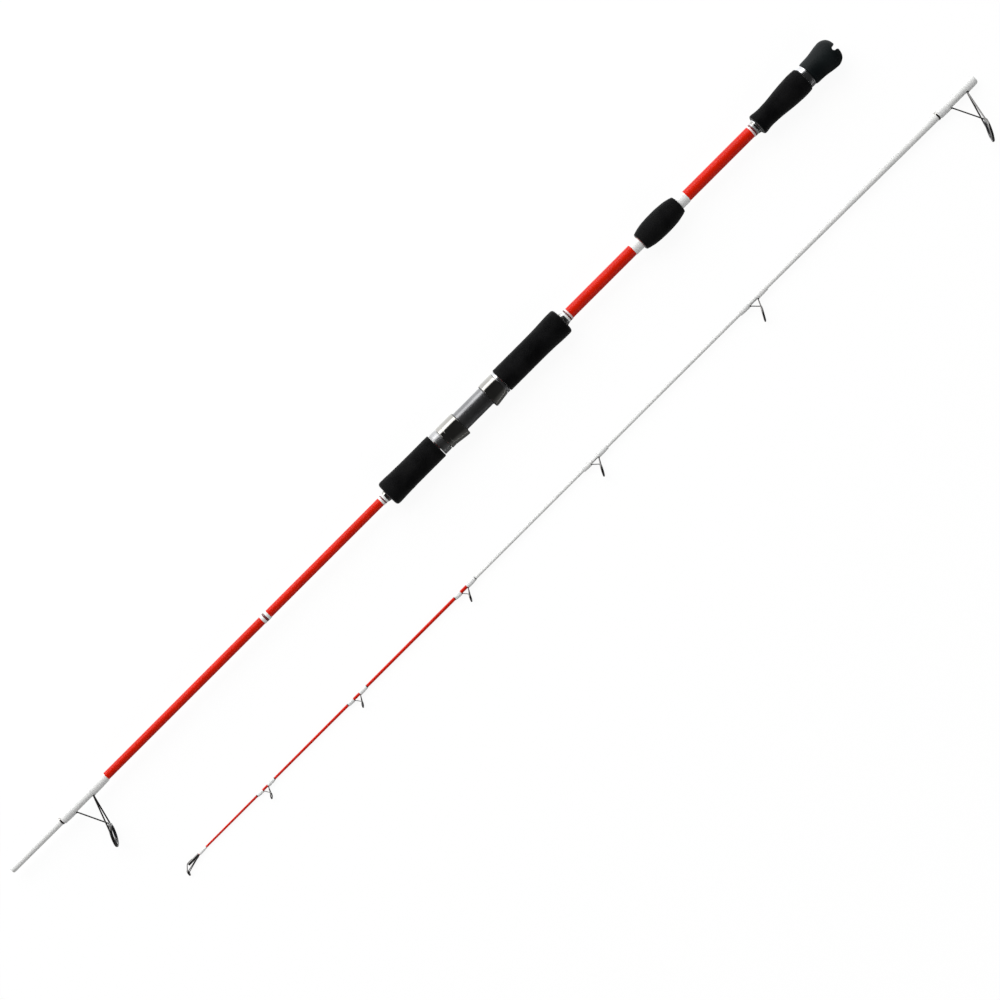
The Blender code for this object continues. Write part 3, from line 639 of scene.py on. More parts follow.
def make_trim_rings(butt):
    """Make the winding checks and wound rings at the grips, and the collars of the middle grip."""
    for grip, (side, bands) in TRIMS.items():
        taper = BLANK_TAPER if grip == "foregrip" else HANDLE_TAPER
        low, high = butt.span(f"{grip}_check")
        place = low if side > 0 else high
        limit = butt.span(f"{grip}_trim")[1 if side > 0 else 0]
        for label, width, near, far, finish in bands:
            end = place + side * width
            if side * (limit - end) < 0.05:
                end = limit
            if side > 0:
                span, heights = (place + 0.02, end - 0.02), (near, far)
            else:
                span, heights = (end + 0.02, place - 0.02), (far, near)
            inner = tuple(along_line(taper, station) + CLEARANCE for station in span)
            outer = tuple(bore + height for bore, height in zip(inner, heights))
            node = f"{grip}_check" if label == "check" else f"{grip}_trim"
            turned(f"{grip}_{label}_wound" if "thread" in finish else f"{grip}_{label}_plated", butt,
                   ring_outline(span, outer, inner, 0.35), finish, (node,), 64)
            place = end
    for label in ("rear", "front"):
        node = f"mid_grip_{label}_collar"
        start, end = butt.span(node)
        inner = tuple(along_line(HANDLE_TAPER, station) + CLEARANCE for station in (start, end))
        outline = [(start, inner[0])]
        outline += [(start + x, inner[0] + r) for x, r in ((0.0, 0.12), (0.35, 0.3), (0.9, 0.42))]
        outline += [(end - x, inner[1] + r) for x, r in ((0.9, 0.42), (0.35, 0.3), (0.0, 0.12))]
        outline.append((end, inner[1]))
        turned(f"{node}_wound", butt, outline, "white_thread", (node,), 64, slot="white_lacquer")


def make_blanks(butt):
    """Make the handle tube, main blank, white zone, wound band, spigot and ferrule ring."""
    for node, taper, wall in (("handle_tube", HANDLE_TAPER, 0.95), ("main_blank", BLANK_TAPER, 0.75)):
        start, end = butt.span(node)
        outer = [(start + (end - start) * step / 40, along_line(taper, start + (end - start) * step / 40))
                 for step in range(41)]
        outline = [(start, outer[0][1] - wall), *outer, (end, outer[-1][1] - wall)]
        turned(f"{node}_lacquered", butt, outline, "orange_lacquer", (node,), 64)
    wrap_start = butt.span("stripper_guide_main_wrap")[0]
    blank_end = butt.span("main_blank")[1]
    zone = (wrap_start - 0.6, blank_end - 0.05)
    radii = [butt.blank(station) for station in zone]
    turned("white_zone_lacquered", butt,
           ring_outline(zone, [r + 0.12 for r in radii], [r + 0.01 for r in radii], 0.1),
           "white_lacquer", (), 64)

    start, end = butt.span("blank_band")
    bore = butt.blank(start) + BORE_GAP
    edges = (start, start + BAND_RING, end - BAND_RING, end)
    for label, span, finish in zip(("rear", "centre", "front"), zip(edges, edges[1:]),
                                   ("white_thread", "red_thread", "white_thread")):
        turned(f"blank_band_{label}_wound", butt,
               ring_outline((span[0] + 0.02, span[1] - 0.02), (bore + 0.3,) * 2, (bore,) * 2, 0.22),
               finish, ("blank_band",), 64)

    start, end = butt.span("ferrule_spigot")
    shoulder = blank_end + 0.1
    outline = rounded([(start, 0.0, 0.0), (start, SPIGOT_GLUED, 0.3), (shoulder, SPIGOT_GLUED, 0.0),
                       (shoulder, SPIGOT_SHOULDER, 0.0),
                       (end - 0.7, 3.3, 0.4), (end, 2.75, 0.3), (end, 0.0, 0.0)], closed=False)
    turned("ferrule_spigot_lacquered", butt, outline, "white_lacquer", ("ferrule_spigot",), 64)
    span = butt.span("ferrule_ring")
    turned("ferrule_ring_plated", butt, ring_outline(span, (3.98, 3.93), (3.55, 3.55), 0.2), "gunmetal",
           ("ferrule_ring",), 64)


# --------------------------------------------------------------- reel seat


def flared(base, depth, half_angle=math.radians(62)):
    """Return a radius that bulges by depth on the guides' side of a round piece."""
    def radius(angle):
        turn = min(angle, 2 * math.pi - angle)
        if turn >= half_angle:
            return base
        return base + depth * math.cos(math.pi / 2 * turn / half_angle) ** 2
    return radius


def make_hood(butt, node, mouth_at_start, body):
    """Make a hood's plated shell, with a rolled lip at its mouth, and the plastic liner in it."""
    start, end = butt.span(f"{node}_shell")
    length, reach = end - start, HOOD_REACH
    long_skirt = length > reach + 0.5

    def place(distance):
        return start + distance if mouth_at_start else end - distance

    def depth(distance, full):
        return full * max(0.0, 1 - distance / reach)

    stops = [0.0, 0.12, 0.35, 0.7, 1.2, 1.6, 2.0, 3.0, 5.0, 8.0, 11.0, 14.0, reach - 0.4]
    if long_skirt:
        stops += [reach, reach + 0.35, reach + 0.7, reach + 1.0, length - 0.8, length - 0.3, length]
    else:
        stops += [reach - 0.15, length]
    shell = []
    for stop in stops:
        outer = HOOD_RADIUS
        if stop < 0.4:
            outer -= 0.35 * (1 - stop / 0.4) ** 2
        elif 1.0 < stop < 1.9:
            outer -= 0.16
        if long_skirt and reach < stop < reach + 0.9:
            outer -= 0.22
        if stop > length - 0.35:
            outer -= 0.3 * (stop - length + 0.35) / 0.35
        shell.append((place(stop), flared(outer, depth(stop, HOOD_FLARE))))
    inner = [(place(stop), flared(HOOD_BORE, depth(stop, HOOD_FLARE))) for stop in reversed(stops)]
    turned(f"{node}_shell_plated", butt, shell + inner, "gunmetal", (f"{node}_shell",), GRIP_SIDES, body=body)

    stops = (-0.7, -0.55, -0.1, 0.8, 3.0, 6.0, 9.0, 12.0, reach)
    outer = [(place(stop), flared(LINER_RADIUS - (0.18 if stop < -0.6 else 0.0), depth(stop, HOOD_FLARE)))
             for stop in stops]
    inner = [(place(stop), flared(LINER_BORE + (0.12 if stop < -0.6 else 0.0), depth(stop, 2.2) + 0.3))
             for stop in reversed(stops)]
    turned(f"{node}_liner_moulded", butt, outer + inner, "black_plastic", (f"{node}_liner",), GRIP_SIDES,
           body=body)


def thread_tree():
    """Build the Geometry Nodes tree of a screw thread: a ridge swept along a spiral."""
    tree = bpy.data.node_groups.new("rod_screw_thread", "GeometryNodeTree")
    tree.interface.new_socket(name="Geometry", in_out="INPUT", socket_type="NodeSocketGeometry")
    for label, value in (("Turns", 13.0), ("Pitch", 2.0), ("Root Radius", 9.85), ("Ridge", 0.62)):
        socket = tree.interface.new_socket(name=label, in_out="INPUT", socket_type="NodeSocketFloat")
        socket.default_value = value
    tree.interface.new_socket(name="Geometry", in_out="OUTPUT", socket_type="NodeSocketGeometry")
    given, result = tree.nodes.new("NodeGroupInput"), tree.nodes.new("NodeGroupOutput")
    height = worked(tree, "MULTIPLY", given.outputs["Turns"], given.outputs["Pitch"])
    spiral = add_node(tree, "GeometryNodeCurveSpiral", {"Resolution": 44, "Rotations": given.outputs["Turns"],
                                                        "Start Radius": given.outputs["Root Radius"],
                                                        "End Radius": given.outputs["Root Radius"],
                                                        "Height": height})
    laid = add_node(tree, "GeometryNodeTransform", {"Geometry": spiral.outputs[0],
                                                    "Rotation": (0.0, math.pi / 2, 0.0)})
    ridge = add_node(tree, "GeometryNodeCurvePrimitiveCircle",
                     {"Resolution": 6, "Radius": given.outputs["Ridge"]})
    swept = add_node(tree, "GeometryNodeCurveToMesh", {"Curve": laid.outputs[0], "Profile Curve": ridge.outputs[0],
                                                       "Fill Caps": True})
    real = add_node(tree, "GeometryNodeRealizeInstances", {0: swept.outputs[0]})
    finished = add_node(tree, "GeometryNodeSetMaterial", {"Geometry": real.outputs[0],
                                                          "Material": finish_of("graphite")})
    tree.links.new(finished.outputs[0], result.inputs[0])
    return tree


def make_reel_seat(butt):
    """Make the reel seat's barrel with its foot bed and screw thread, its end ring and its fixed hood."""
    start, end = butt.span("reel_seat_barrel")
    thread = start + THREAD_PLACE
    bed = [start + place for place in BED_PLACE]
    stations = (start, bed[0], bed[0] + 0.3, bed[1] - 0.3, bed[1], thread - 0.4)
    shape = [*((station, BARREL_RADIUS) for station in stations), (thread - 0.1, 10.35),
             (thread + 0.6, THREAD_ROOT), (end - 0.4, THREAD_ROOT), (end, 9.4)]

    def flattened(radius):
        def reach(angle):
            lean = math.cos(angle)
            return radius if radius * lean <= BED_HEIGHT else BED_HEIGHT / lean
        return reach

    outline = [(start, BARREL_BORE)]
    for station, radius in shape:
        on_bed = bed[0] + 0.1 < station < bed[1] - 0.1
        outline.append((station, flattened(radius) if on_bed else radius))
    outline.append((end, BARREL_BORE))
    turned("reel_seat_barrel_moulded", butt, outline, "graphite", ("reel_seat_barrel",), 128, sharp=28.0)

    holder = bpy.data.objects.new("thread_holder", bpy.data.meshes.new("thread_holder"))
    bpy.context.scene.collection.objects.link(holder)
    modifier = holder.modifiers.new("thread", "NODES")
    modifier.node_group = thread_tree()
    sizes = bpy.context.scene.rod_sizes
    wanted = {"Turns": (end - thread - 2.6) / sizes.thread_pitch, "Pitch": sizes.thread_pitch}
    for item in modifier.node_group.interface.items_tree:
        if item.in_out == "INPUT" and item.name in wanted:
            modifier[item.identifier] = wanted[item.name]
    graph = bpy.context.evaluated_depsgraph_get()
    mesh = bpy.data.meshes.new_from_object(holder.evaluated_get(graph))
    bpy.data.objects.remove(holder, do_unlink=True)
    mesh.name = "reel_seat_thread"
    mesh.transform(butt.placing @ Matrix.Translation((thread + 1.4, 0.0, 0.0)))
    finish_mesh(mesh, "reel_seat_thread", "graphite", (), butt.body, 40.0)

    span = butt.span("seat_end_ring")
    turned("seat_end_ring_plated", butt, ring_outline(span, (12.5, 12.5), (10.55, 10.55), 0.6), "bright_steel",
           ("seat_end_ring",), GRIP_SIDES)
    make_hood(butt, "fixed_hood", False, butt.body)


def make_lock_nut(butt):
    """Make the lock nut, with rounded rims and a fine groove near each end."""
    start, end = butt.span("lock_nut")
    rim = ((0.0, NUT_BORE, 0.0), (0.0, 11.85, 0.45), (0.9, NUT_RADIUS, 0.2), (1.05, NUT_GROOVE, 0.1),
           (1.35, NUT_GROOVE, 0.1), (1.5, NUT_RADIUS, 0.2))
    outline = rounded([*((start + x, radius, rounding) for x, radius, rounding in rim),
                       *((end - x, radius, rounding) for x, radius, rounding in reversed(rim))], steps=4)
    turned("lock_nut_plated", butt, outline, "satin_steel", ("lock_nut",), 128, body="lock_nut")


# ------------------------------------------------------------------ guides


def ring_placing(station, reach, tilt):
    """Return the matrix that stands a ring on its station, its far edge tilted toward the tip."""
    return Matrix.Translation((station, reach, 0.0)) @ Matrix.Rotation(-math.radians(tilt), 4, "Z")


def add_ring(bm, placing, radius, thickness, width):
    """Add a ring whose section is an ellipse, by the middle radius, half thickness and half width."""
    outline = [(width * math.cos(2 * math.pi * step / 14), radius + thickness * math.sin(2 * math.pi * step / 14))
               for step in range(14)]
    add_turned(bm, outline, RING_STEPS, placing)


def add_foot(bm, heel, tail, base, width):
    """Add a guide's flat foot, ground down to a thin tail."""
    count = 12
    path, radii = [], []
    for step in range(count + 1):
        share = step / count
        path.append((heel + (tail - heel) * share, base + FOOT_THICKNESS * 0.5, 0.0))
        radii.append(width / 2 * (1 - 0.55 * eased((share - 0.25) / 0.75)))
    add_wire(bm, path, radii, 16, FOOT_THICKNESS / width)


def wrap_profile(blank, outer, foot_side, start, end):
    """Return the outline of a thread wrap that swells over a guide's foot and tapers at both ends."""
    length = end - start
    count = max(16, round(length / 0.35))
    outline = []
    for step in range(count + 1):
        station = start + length * step / count
        bore = blank(station) + BORE_GAP
        from_guide = (end - station) if foot_side > 0 else (station - start)
        edge = min(1.0, min(station - start, end - station) / EPOXY_TAPER)
        lift = math.sqrt(max(0.0, 1 - (1 - edge) ** 2))
        body = bore + 0.12 + (outer - WRAP_BULGE - bore - 0.12) * lift
        swell = WRAP_BULGE * lift * (1 - eased((from_guide / length - 0.45) / 0.5))
        outline.append((station, flared(body, swell, math.radians(75))))
    return [(start, blank(start) + BORE_GAP), *outline, (end, blank(end) + BORE_GAP)]


def make_guide(section, spec):
    """Make one double-foot guide: wire frame, ceramic ring, thread wraps and their end lines."""
    frame_low, frame_high = section.box(f"{spec.name}_frame")
    radius = (frame_high.z - frame_low.z) / 2
    centre = middle(*section.box(f"{spec.name}_ring"))
    placing = ring_placing(centre.x, centre.y, spec.tilt)
    main_span = section.span(f"{spec.name}_main_wrap")
    main = main_span[1] + 1.6 * spec.wire
    wrapped = f"{spec.name}_brace_wrap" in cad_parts
    if wrapped:
        brace_span = section.span(f"{spec.name}_brace_wrap")
        brace = brace_span[0] - 1.6 * spec.wire
    else:
        brace = frame_high.x - 5.5
        brace_span = (brace + 1.6 * spec.wire, brace + 1.6 * spec.wire + 7.2)

    bm = bmesh.new()
    ring_middle = radius - 1.2 * spec.wire
    add_ring(bm, placing, ring_middle, spec.wire, 1.4 * spec.wire)
    heel_y = {foot: section.blank(foot) + CLEARANCE + FOOT_THICKNESS * 0.6 for foot in (main, brace)}
    distance = math.hypot(centre.y - heel_y[main], main - centre.x)
    touch = math.acos(min(0.95, ring_middle / distance))
    for side in (1, -1):
        rim = placing @ Vector((0.0, -ring_middle * math.cos(touch), side * ring_middle * math.sin(touch)))
        path = bent([(main - 3.2 * spec.wire, heel_y[main], side * spec.wire * 0.6),
                     (main - 0.4 * spec.wire, heel_y[main], side * spec.wire * 0.8), rim], 2.4 * spec.wire)
        add_wire(bm, path, spec.wire * 0.95)
    near_edge = placing @ Vector((0.0, -ring_middle, 0.0))
    path = bent([(brace + 3.2 * spec.wire, heel_y[brace], 0.0), (brace + 0.3 * spec.wire, heel_y[brace], 0.0),
                 near_edge], 2.2 * spec.wire)
    add_wire(bm, path, spec.wire * 0.82)
    add_foot(bm, main + 0.6 * spec.wire, main_span[0] + 1.6, section.blank(main) + CLEARANCE, spec.foot_width)
    add_foot(bm, brace - 0.6 * spec.wire, brace_span[1] - 1.6, section.blank(brace) + CLEARANCE, spec.foot_width)
    finish_piece(bm, f"{spec.name}_wireframe", section, "guide_wire", (f"{spec.name}_frame",))

    outer = radius - 2.2 * spec.wire - 0.03
    thickness = 0.17 * radius
    bm = bmesh.new()
    add_ring(bm, placing, outer - thickness / 2, thickness / 2, thickness * 0.75)
    finish_piece(bm, f"{spec.name}_insert", section, "ceramic", (f"{spec.name}_ring",))

    for label, span, foot_side in (("main", main_span, 1), ("brace", brace_span, -1)):
        node = f"{spec.name}_{label}_wrap"
        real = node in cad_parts
        outer = section.radius(node) if real else section.radius(f"{spec.name}_main_wrap")
        turned(f"{node}_wound", section, wrap_profile(section.blank, outer, foot_side, *span), "white_thread",
               (node,) if real else (), 64)
        if spec.end_lines:
            place = span[0] - 0.75 if foot_side > 0 else span[1] + 0.02
            bore = section.blank(place) + BORE_GAP
            turned(f"{spec.name}_{label}_end_line", section,
                   ring_outline((place, place + 0.73), (bore + 0.2,) * 2, (bore,) * 2, 0.15), "dark_thread")


def make_tip_blank(tip):
    """Make the tip section's white tube with its socket, the orange solid tip and the socket ring."""
    start, end = tip.span("tip_section_tube")
    taper = flowing([point for point in TIP_TAPER if 50.0 <= point[0] <= 692.0], 8.0)
    outline = [(start, SOCKET_BORE[0]), (start, 3.95), (start + 0.12, 4.12), (start + 0.4, 4.2), *taper[:-1],
               (end - 0.2, taper[-1][1]), (end, taper[-1][1] - 0.1), (end, 1.0),
               (SOCKET_FLOOR[1], 1.0), (SOCKET_FLOOR[0], SOCKET_BORE[1])]
    turned("tip_tube_lacquered", tip, outline, "white_lacquer", ("tip_section_tube",), 64)
    low, high = tip.span("solid_tip")
    first = end + 0.1
    outline = [(low, 0.0), (low, SOLID_TIP_CORE), (first, SOLID_TIP_CORE)]
    stations = (first + (high - 0.5 - end - 0.1) * step / 24 for step in range(25))
    outline += [(station, tip.blank(station)) for station in stations]
    outline += [(high - 0.2, 0.9), (high, 0.6), (high, 0.0)]
    turned("solid_tip_lacquered", tip, outline, "orange_lacquer", ("solid_tip",))
    span = tip.span("socket_ring")
    turned("socket_ring_plated", tip, ring_outline(span, (4.6, 4.55), (4.25, 4.25), 0.15), "gunmetal",
           ("socket_ring",), 64)


def make_tip_top(tip):
    """Make the tip-top: tube, bent wires, ring and ceramic insert, with the wrap behind it."""
    wire, tilt = 0.45, 11.0
    low, high = tip.box("tip_top_frame")
    radius = (high.z - low.z) / 2
    centre = middle(*tip.box("tip_top_ring"))
    placing = ring_placing(centre.x, centre.y, tilt)
    ring_middle = radius - wire
    tube = (low.x, low.x + 14.1)
    bore = tip.blank(tube[0]) + CLEARANCE
    bm = bmesh.new()
    add_ring(bm, placing, ring_middle, wire, 1.5 * wire)
    add_turned(bm, rounded([(tube[0], bore, 0.0), (tube[0], 1.5, 0.25), (tube[1], 1.5, 0.4),
                            (tube[1], bore, 0.0)]), BLANK_SIDES)
    wall = (1.5 + bore) / 2 + 0.25
    near_edge = placing @ Vector((0.0, -ring_middle, 0.0))
    add_wire(bm, bent([(tube[1] - 6.0, -wall, 0.0), (tube[1] + 0.5, -wall, 0.0), near_edge], 1.6), wire)
    for side in (1, -1):
        touch = math.radians(75)
        rim = placing @ Vector((0.0, -ring_middle * math.cos(touch), side * ring_middle * math.sin(touch)))
        heel = (tube[0] + 1.5, wall * math.cos(0.5), side * wall * math.sin(0.5))
        shoulder = (tube[0] + 4.5, wall * math.cos(0.5) + 0.35, side * (wall * math.sin(0.5) + 0.12))
        add_wire(bm, bent([heel, shoulder, rim], 2.0), wire)
    finish_piece(bm, "tip_top_wireframe", tip, "guide_wire", ("tip_top_frame",))
    outer = radius - 2 * wire - 0.03
    bm = bmesh.new()
    add_ring(bm, placing, outer - 0.3, 0.3, 0.45)
    finish_piece(bm, "tip_top_insert", tip, "ceramic", ("tip_top_ring",))
    span = tip.span("tip_top_wrap")
    outer = tip.radius("tip_top_wrap")
    turned("tip_top_wrap_wound", tip, wrap_profile(tip.blank, outer, 1, *span), "white_thread",
           ("tip_top_wrap",))


# ------------------------------------------------------------------- stage


SENSOR = 36.0
VIEW_CENTRE = Vector((0.0139, 0.0013, 0.0151))
VIEW_TURN = 135
FLOOR_REACH = 25.0
FLOOR_GAP = 0.00005
# The surround by its angle from overhead toward the key light: where its pale side fades in, its faint
# far side fades out, and how bright that far side and the backdrop are
BRIGHT_EDGE = (46, 66)
FAR_EDGE = (-85, -60)
FAR_GLOW = 0.09
BACKDROP = 0.97


def area_light(name, place, width, height, power):
    """Add a soft rectangular light that looks at the middle of the rod."""
    light = bpy.data.lights.new(name, "AREA")
    light.shape, light.size, light.size_y, light.energy = "RECTANGLE", width, height, power
    holder = bpy.data.objects.new(name, light)
    holder.location = place
    holder.rotation_mode = "QUATERNION"
    holder.rotation_quaternion = (-Vector(place)).to_track_quat("-Z", "Y")
    bpy.context.scene.collection.objects.link(holder)
    return holder


def make_stage():
    """Lay the pale floor, hang the soft lights and stand the camera."""
    studio = bpy.context.scene.rod_studio
    bpy.context.scene.view_settings.view_transform = "Standard"
    mesh = bpy.data.meshes.new("floor")
    level = CAD_BOX[0].z - FLOOR_GAP
    corners = ((-1, -1), (1, -1), (1, 1), (-1, 1))
    mesh.from_pydata([(x * FLOOR_REACH, y * FLOOR_REACH, level) for x, y in corners], [], [(0, 1, 2, 3)])
    material = bpy.data.materials.new("pale_floor")
    material.use_nodes = True
    tree = material.node_tree
    shader = tree.nodes["Principled BSDF"]
    shader.inputs["Base Color"].default_value = (0.06, 0.06, 0.06, 1.0)
    shader.inputs["Roughness"].default_value = 0.9
    shader.inputs["Specular IOR Level"].default_value = 0.0
    shader.inputs["Emission Color"].default_value = (1.0, 1.0, 1.0, 1.0)
    ray = add_node(tree, "ShaderNodeLightPath")
    tree.links.new(ranged(tree, ray.outputs["Is Camera Ray"], studio.floor_bounce, studio.floor_glow),
                   shader.inputs["Emission Strength"])
    unseen = add_node(tree, "ShaderNodeBsdfTransparent")
    shown = add_node(tree, "ShaderNodeMixShader", {0: ray.outputs["Is Glossy Ray"], 1: shader.outputs["BSDF"],
                                                   2: unseen.outputs["BSDF"]})
    tree.links.new(shown.outputs[0], tree.nodes["Material Output"].inputs["Surface"])
    mesh.materials.append(material)
    floor = bpy.data.objects.new("floor", mesh)
    bpy.context.scene.collection.objects.link(floor)

    world = bpy.data.worlds.new("studio")
    world.use_nodes = True
    tree = world.node_tree
    backdrop = tree.nodes["Background"]
    backdrop.inputs["Color"].default_value = (0.98, 0.99, 1.0, 1.0)
    place = add_node(tree, "ShaderNodeTexCoord").outputs["Generated"]
    way = add_node(tree, "ShaderNodeSeparateXYZ", {0: place})
    turn = worked(tree, "ARCTAN2", worked(tree, "MULTIPLY", way.outputs["Y"], -1.0), way.outputs["Z"])
    near_edge, far_edge = (tuple(map(math.radians, edge)) for edge in (BRIGHT_EDGE, FAR_EDGE))
    bright = ranged(tree, turn, studio.surround_dark, studio.surround, *near_edge)
    far = ranged(tree, turn, FAR_GLOW, 0.0, *far_edge)
    seen = add_node(tree, "ShaderNodeLightPath").outputs["Is Camera Ray"]
    shown = add_node(tree, "ShaderNodeMix", {0: seen, 2: worked(tree, "ADD", bright, far), 3: BACKDROP},
                     data_type="FLOAT")
    tree.links.new(shown.outputs[0], backdrop.inputs["Strength"])
    bpy.context.scene.world = world

    area_light("key_softbox", (0.2, -2.3, 0.95), 4.4, 1.3, studio.key_power)
    over = area_light("over_softbox", (0.1, -2.0, 2.3), 3.0, 1.6, studio.over_power)
    over.visible_glossy = False
    fill = area_light("fill_softbox", (0.0, 2.4, 1.6), 3.0, 1.6, studio.fill_power)
    fill.visible_glossy = False

    camera = bpy.data.objects.new("camera", bpy.data.cameras.new("camera"))
    camera.data.lens = SENSOR * studio.camera_distance / studio.view_width
    camera.data.sensor_width = SENSOR
    camera.data.clip_start, camera.data.clip_end = 0.1, 30.0
    camera.location = VIEW_CENTRE + Vector((0.0, 0.0, studio.camera_distance))
    camera.rotation_euler = (0.0, 0.0, math.radians(VIEW_TURN))
    bpy.context.scene.collection.objects.link(camera)
    bpy.context.scene.camera = camera


# -------------------------------------------------------------- add-on part


class RodSizes(bpy.types.PropertyGroup):
    """Sizes that a maker would change."""

    thread_pitch: FloatProperty(name="Thread Pitch", description="Pitch of the reel seat's screw thread, in mm",
                                default=2.0, min=1.0, max=4.0)


class RodLook(bpy.types.PropertyGroup):
    """Colours and wear of the rod."""

    orange: FloatVectorProperty(name="Blank Colour", description="Lacquer of the handle and main blank",
                                subtype="COLOR", size=3, default=(0.56, 0.010, 0.001), min=0.0, max=1.0)
    wear: FloatProperty(name="Wear", description="Strength of the handling scuffs", subtype="FACTOR",
                        default=0.35, min=0.0, max=1.0)


class RodStudio(bpy.types.PropertyGroup):
    """Camera and lights."""

    camera_distance: FloatProperty(name="Camera Distance", description="Height of the camera over the rod",
                                   subtype="DISTANCE", unit="LENGTH", default=2.4, min=0.5)
    view_width: FloatProperty(name="View Width", description="Width of the picture at the rod",
                              subtype="DISTANCE", unit="LENGTH", default=0.96, min=0.1)
    key_power: FloatProperty(name="Key Power", description="Power of the long softbox", unit="POWER",
                             default=32.0, min=0.0)
    over_power: FloatProperty(name="Over Power", description="Power of the high softbox", unit="POWER",
                              default=84.0, min=0.0)
    fill_power: FloatProperty(name="Fill Power", description="Power of the far softbox", unit="POWER",
                              default=34.0, min=0.0)
    surround: FloatProperty(name="Surround", description="Brightness of the studio's pale side", default=1.5,
                            min=0.0)
    surround_dark: FloatProperty(name="Surround Dark", description="Brightness of the studio's dark side",
                                 default=0.03, min=0.0)
    floor_glow: FloatProperty(name="Floor Glow", description="Brightness that the floor shows", default=0.94,
                              min=0.0)
    floor_bounce: FloatProperty(name="Floor Bounce", description="Light that the floor gives to the rod",
                                default=0.75, min=0.0)


BUTT = Section("butt_section", "gimbal_butt", "gimbal_collar", "ferrule_ring", "stripper_guide_ring", BLANK_TAPER)
TIP = Section("tip_section", "tip_section_tube", "socket_ring", "tip_top_wrap", "socket_guide_ring", TIP_TAPER)


class ROD_OT_gimbal(bpy.types.Operator):
    """Make the rubber gimbal butt and its collar"""

    bl_idname = "rod.gimbal"
    bl_label = "Gimbal Butt"

    def execute(self, context):
        make_gimbal(BUTT)
        return {"FINISHED"}


class ROD_OT_foam_grips(bpy.types.Operator):
    """Make the four foam grips"""

    bl_idname = "rod.foam_grips"
    bl_label = "Foam Grips"

    def execute(self, context):
        make_foam_grips(BUTT)
        return {"FINISHED"}


class ROD_OT_trim_rings(bpy.types.Operator):
    """Make the winding checks, wound rings and collars"""

    bl_idname = "rod.trim_rings"
    bl_label = "Trim Rings"

    def execute(self, context):
        make_trim_rings(BUTT)
        return {"FINISHED"}


class ROD_OT_blanks(bpy.types.Operator):
    """Make the handle tube, main blank, band and spigot"""

    bl_idname = "rod.blanks"
    bl_label = "Butt Blanks"

    def execute(self, context):
        make_blanks(BUTT)
        return {"FINISHED"}


class ROD_OT_reel_seat(bpy.types.Operator):
    """Make the reel seat with its thread, end ring and fixed hood"""

    bl_idname = "rod.reel_seat"
    bl_label = "Reel Seat"

    def execute(self, context):
        make_reel_seat(BUTT)
        return {"FINISHED"}


class ROD_OT_moving_hood(bpy.types.Operator):
    """Make the sliding hood"""

    bl_idname = "rod.moving_hood"
    bl_label = "Moving Hood"

    def execute(self, context):
        make_hood(BUTT, "moving_hood", True, "moving_hood")
        return {"FINISHED"}


class ROD_OT_lock_nut(bpy.types.Operator):
    """Make the lock nut"""

    bl_idname = "rod.lock_nut"
    bl_label = "Lock Nut"

    def execute(self, context):
        make_lock_nut(BUTT)
        return {"FINISHED"}


class ROD_OT_guides(bpy.types.Operator):
    """Make the guides of both sections with their wraps"""

    bl_idname = "rod.guides"
    bl_label = "Guides"

    def execute(self, context):
        for section, specs in ((BUTT, BUTT_GUIDES), (TIP, TIP_GUIDES)):
            for spec in specs:
                make_guide(section, spec)
        return {"FINISHED"}


class ROD_OT_tip_blank(bpy.types.Operator):
    """Make the tip section's tube, solid tip and socket ring"""

    bl_idname = "rod.tip_blank"
    bl_label = "Tip Blank"

    def execute(self, context):
        make_tip_blank(TIP)
        return {"FINISHED"}


class ROD_OT_tip_top(bpy.types.Operator):
    """Make the tip-top"""

    bl_idname = "rod.tip_top"
    bl_label = "Tip-Top"

    def execute(self, context):
        make_tip_top(TIP)
        return {"FINISHED"}


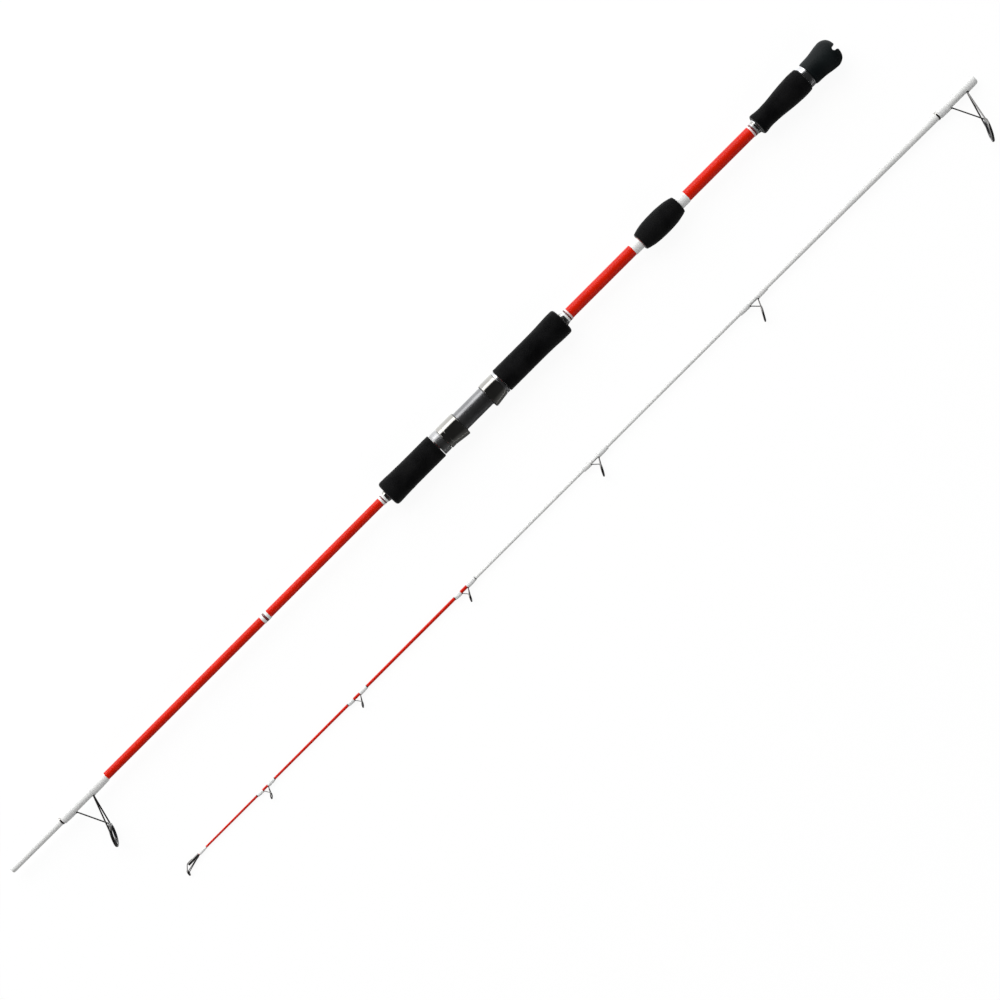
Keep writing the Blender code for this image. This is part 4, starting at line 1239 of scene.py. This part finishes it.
class ROD_OT_carried_parts(bpy.types.Operator):
    """Give the CAD parts that stay their procedural finish"""

    bl_idname = "rod.carried_parts"
    bl_label = "Carried Parts"

    def execute(self, context):
        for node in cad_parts.values():
            if not node.hide_render:
                for slot in node.material_slots:
                    slot.material = finish_of("black_plastic")
        return {"FINISHED"}


class ROD_OT_stage(bpy.types.Operator):
    """Lay the floor and set the lights and the camera"""

    bl_idname = "rod.stage"
    bl_label = "Stage"

    def execute(self, context):
        make_stage()
        return {"FINISHED"}


OPERATORS = (ROD_OT_gimbal, ROD_OT_foam_grips, ROD_OT_trim_rings, ROD_OT_blanks, ROD_OT_reel_seat,
             ROD_OT_moving_hood, ROD_OT_lock_nut, ROD_OT_guides, ROD_OT_tip_blank, ROD_OT_tip_top,
             ROD_OT_carried_parts, ROD_OT_stage)


class ROD_PT_pieces(bpy.types.Panel):
    """Lists the rod's pieces, colours and studio"""

    bl_idname = "ROD_PT_pieces"
    bl_label = "Spinning Rod"
    bl_space_type = "VIEW_3D"
    bl_region_type = "UI"
    bl_category = "Rod"

    def draw(self, context):
        layout = self.layout
        for operator in OPERATORS:
            layout.operator(operator.bl_idname)
        for group in (context.scene.rod_sizes, context.scene.rod_look, context.scene.rod_studio):
            for name in group.__annotations__:
                layout.prop(group, name)


GROUPS = (("rod_sizes", RodSizes), ("rod_look", RodLook), ("rod_studio", RodStudio))


def register():
    """Register the add-on's classes and properties."""
    for kind in (*(group for _, group in GROUPS), *OPERATORS, ROD_PT_pieces):
        bpy.utils.register_class(kind)
    for name, group in GROUPS:
        setattr(bpy.types.Scene, name, PointerProperty(type=group))


def unregister():
    """Remove the add-on's classes and properties."""
    for name, _ in GROUPS:
        delattr(bpy.types.Scene, name)
    for kind in (ROD_PT_pieces, *reversed(OPERATORS), *(group for _, group in GROUPS)):
        bpy.utils.unregister_class(kind)


def main():
    """Build every piece in order."""
    register()
    for operator in OPERATORS:
        getattr(bpy.ops.rod, operator.bl_idname.split(".")[1])()
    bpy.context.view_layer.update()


if __name__ == "__main__":
    main()
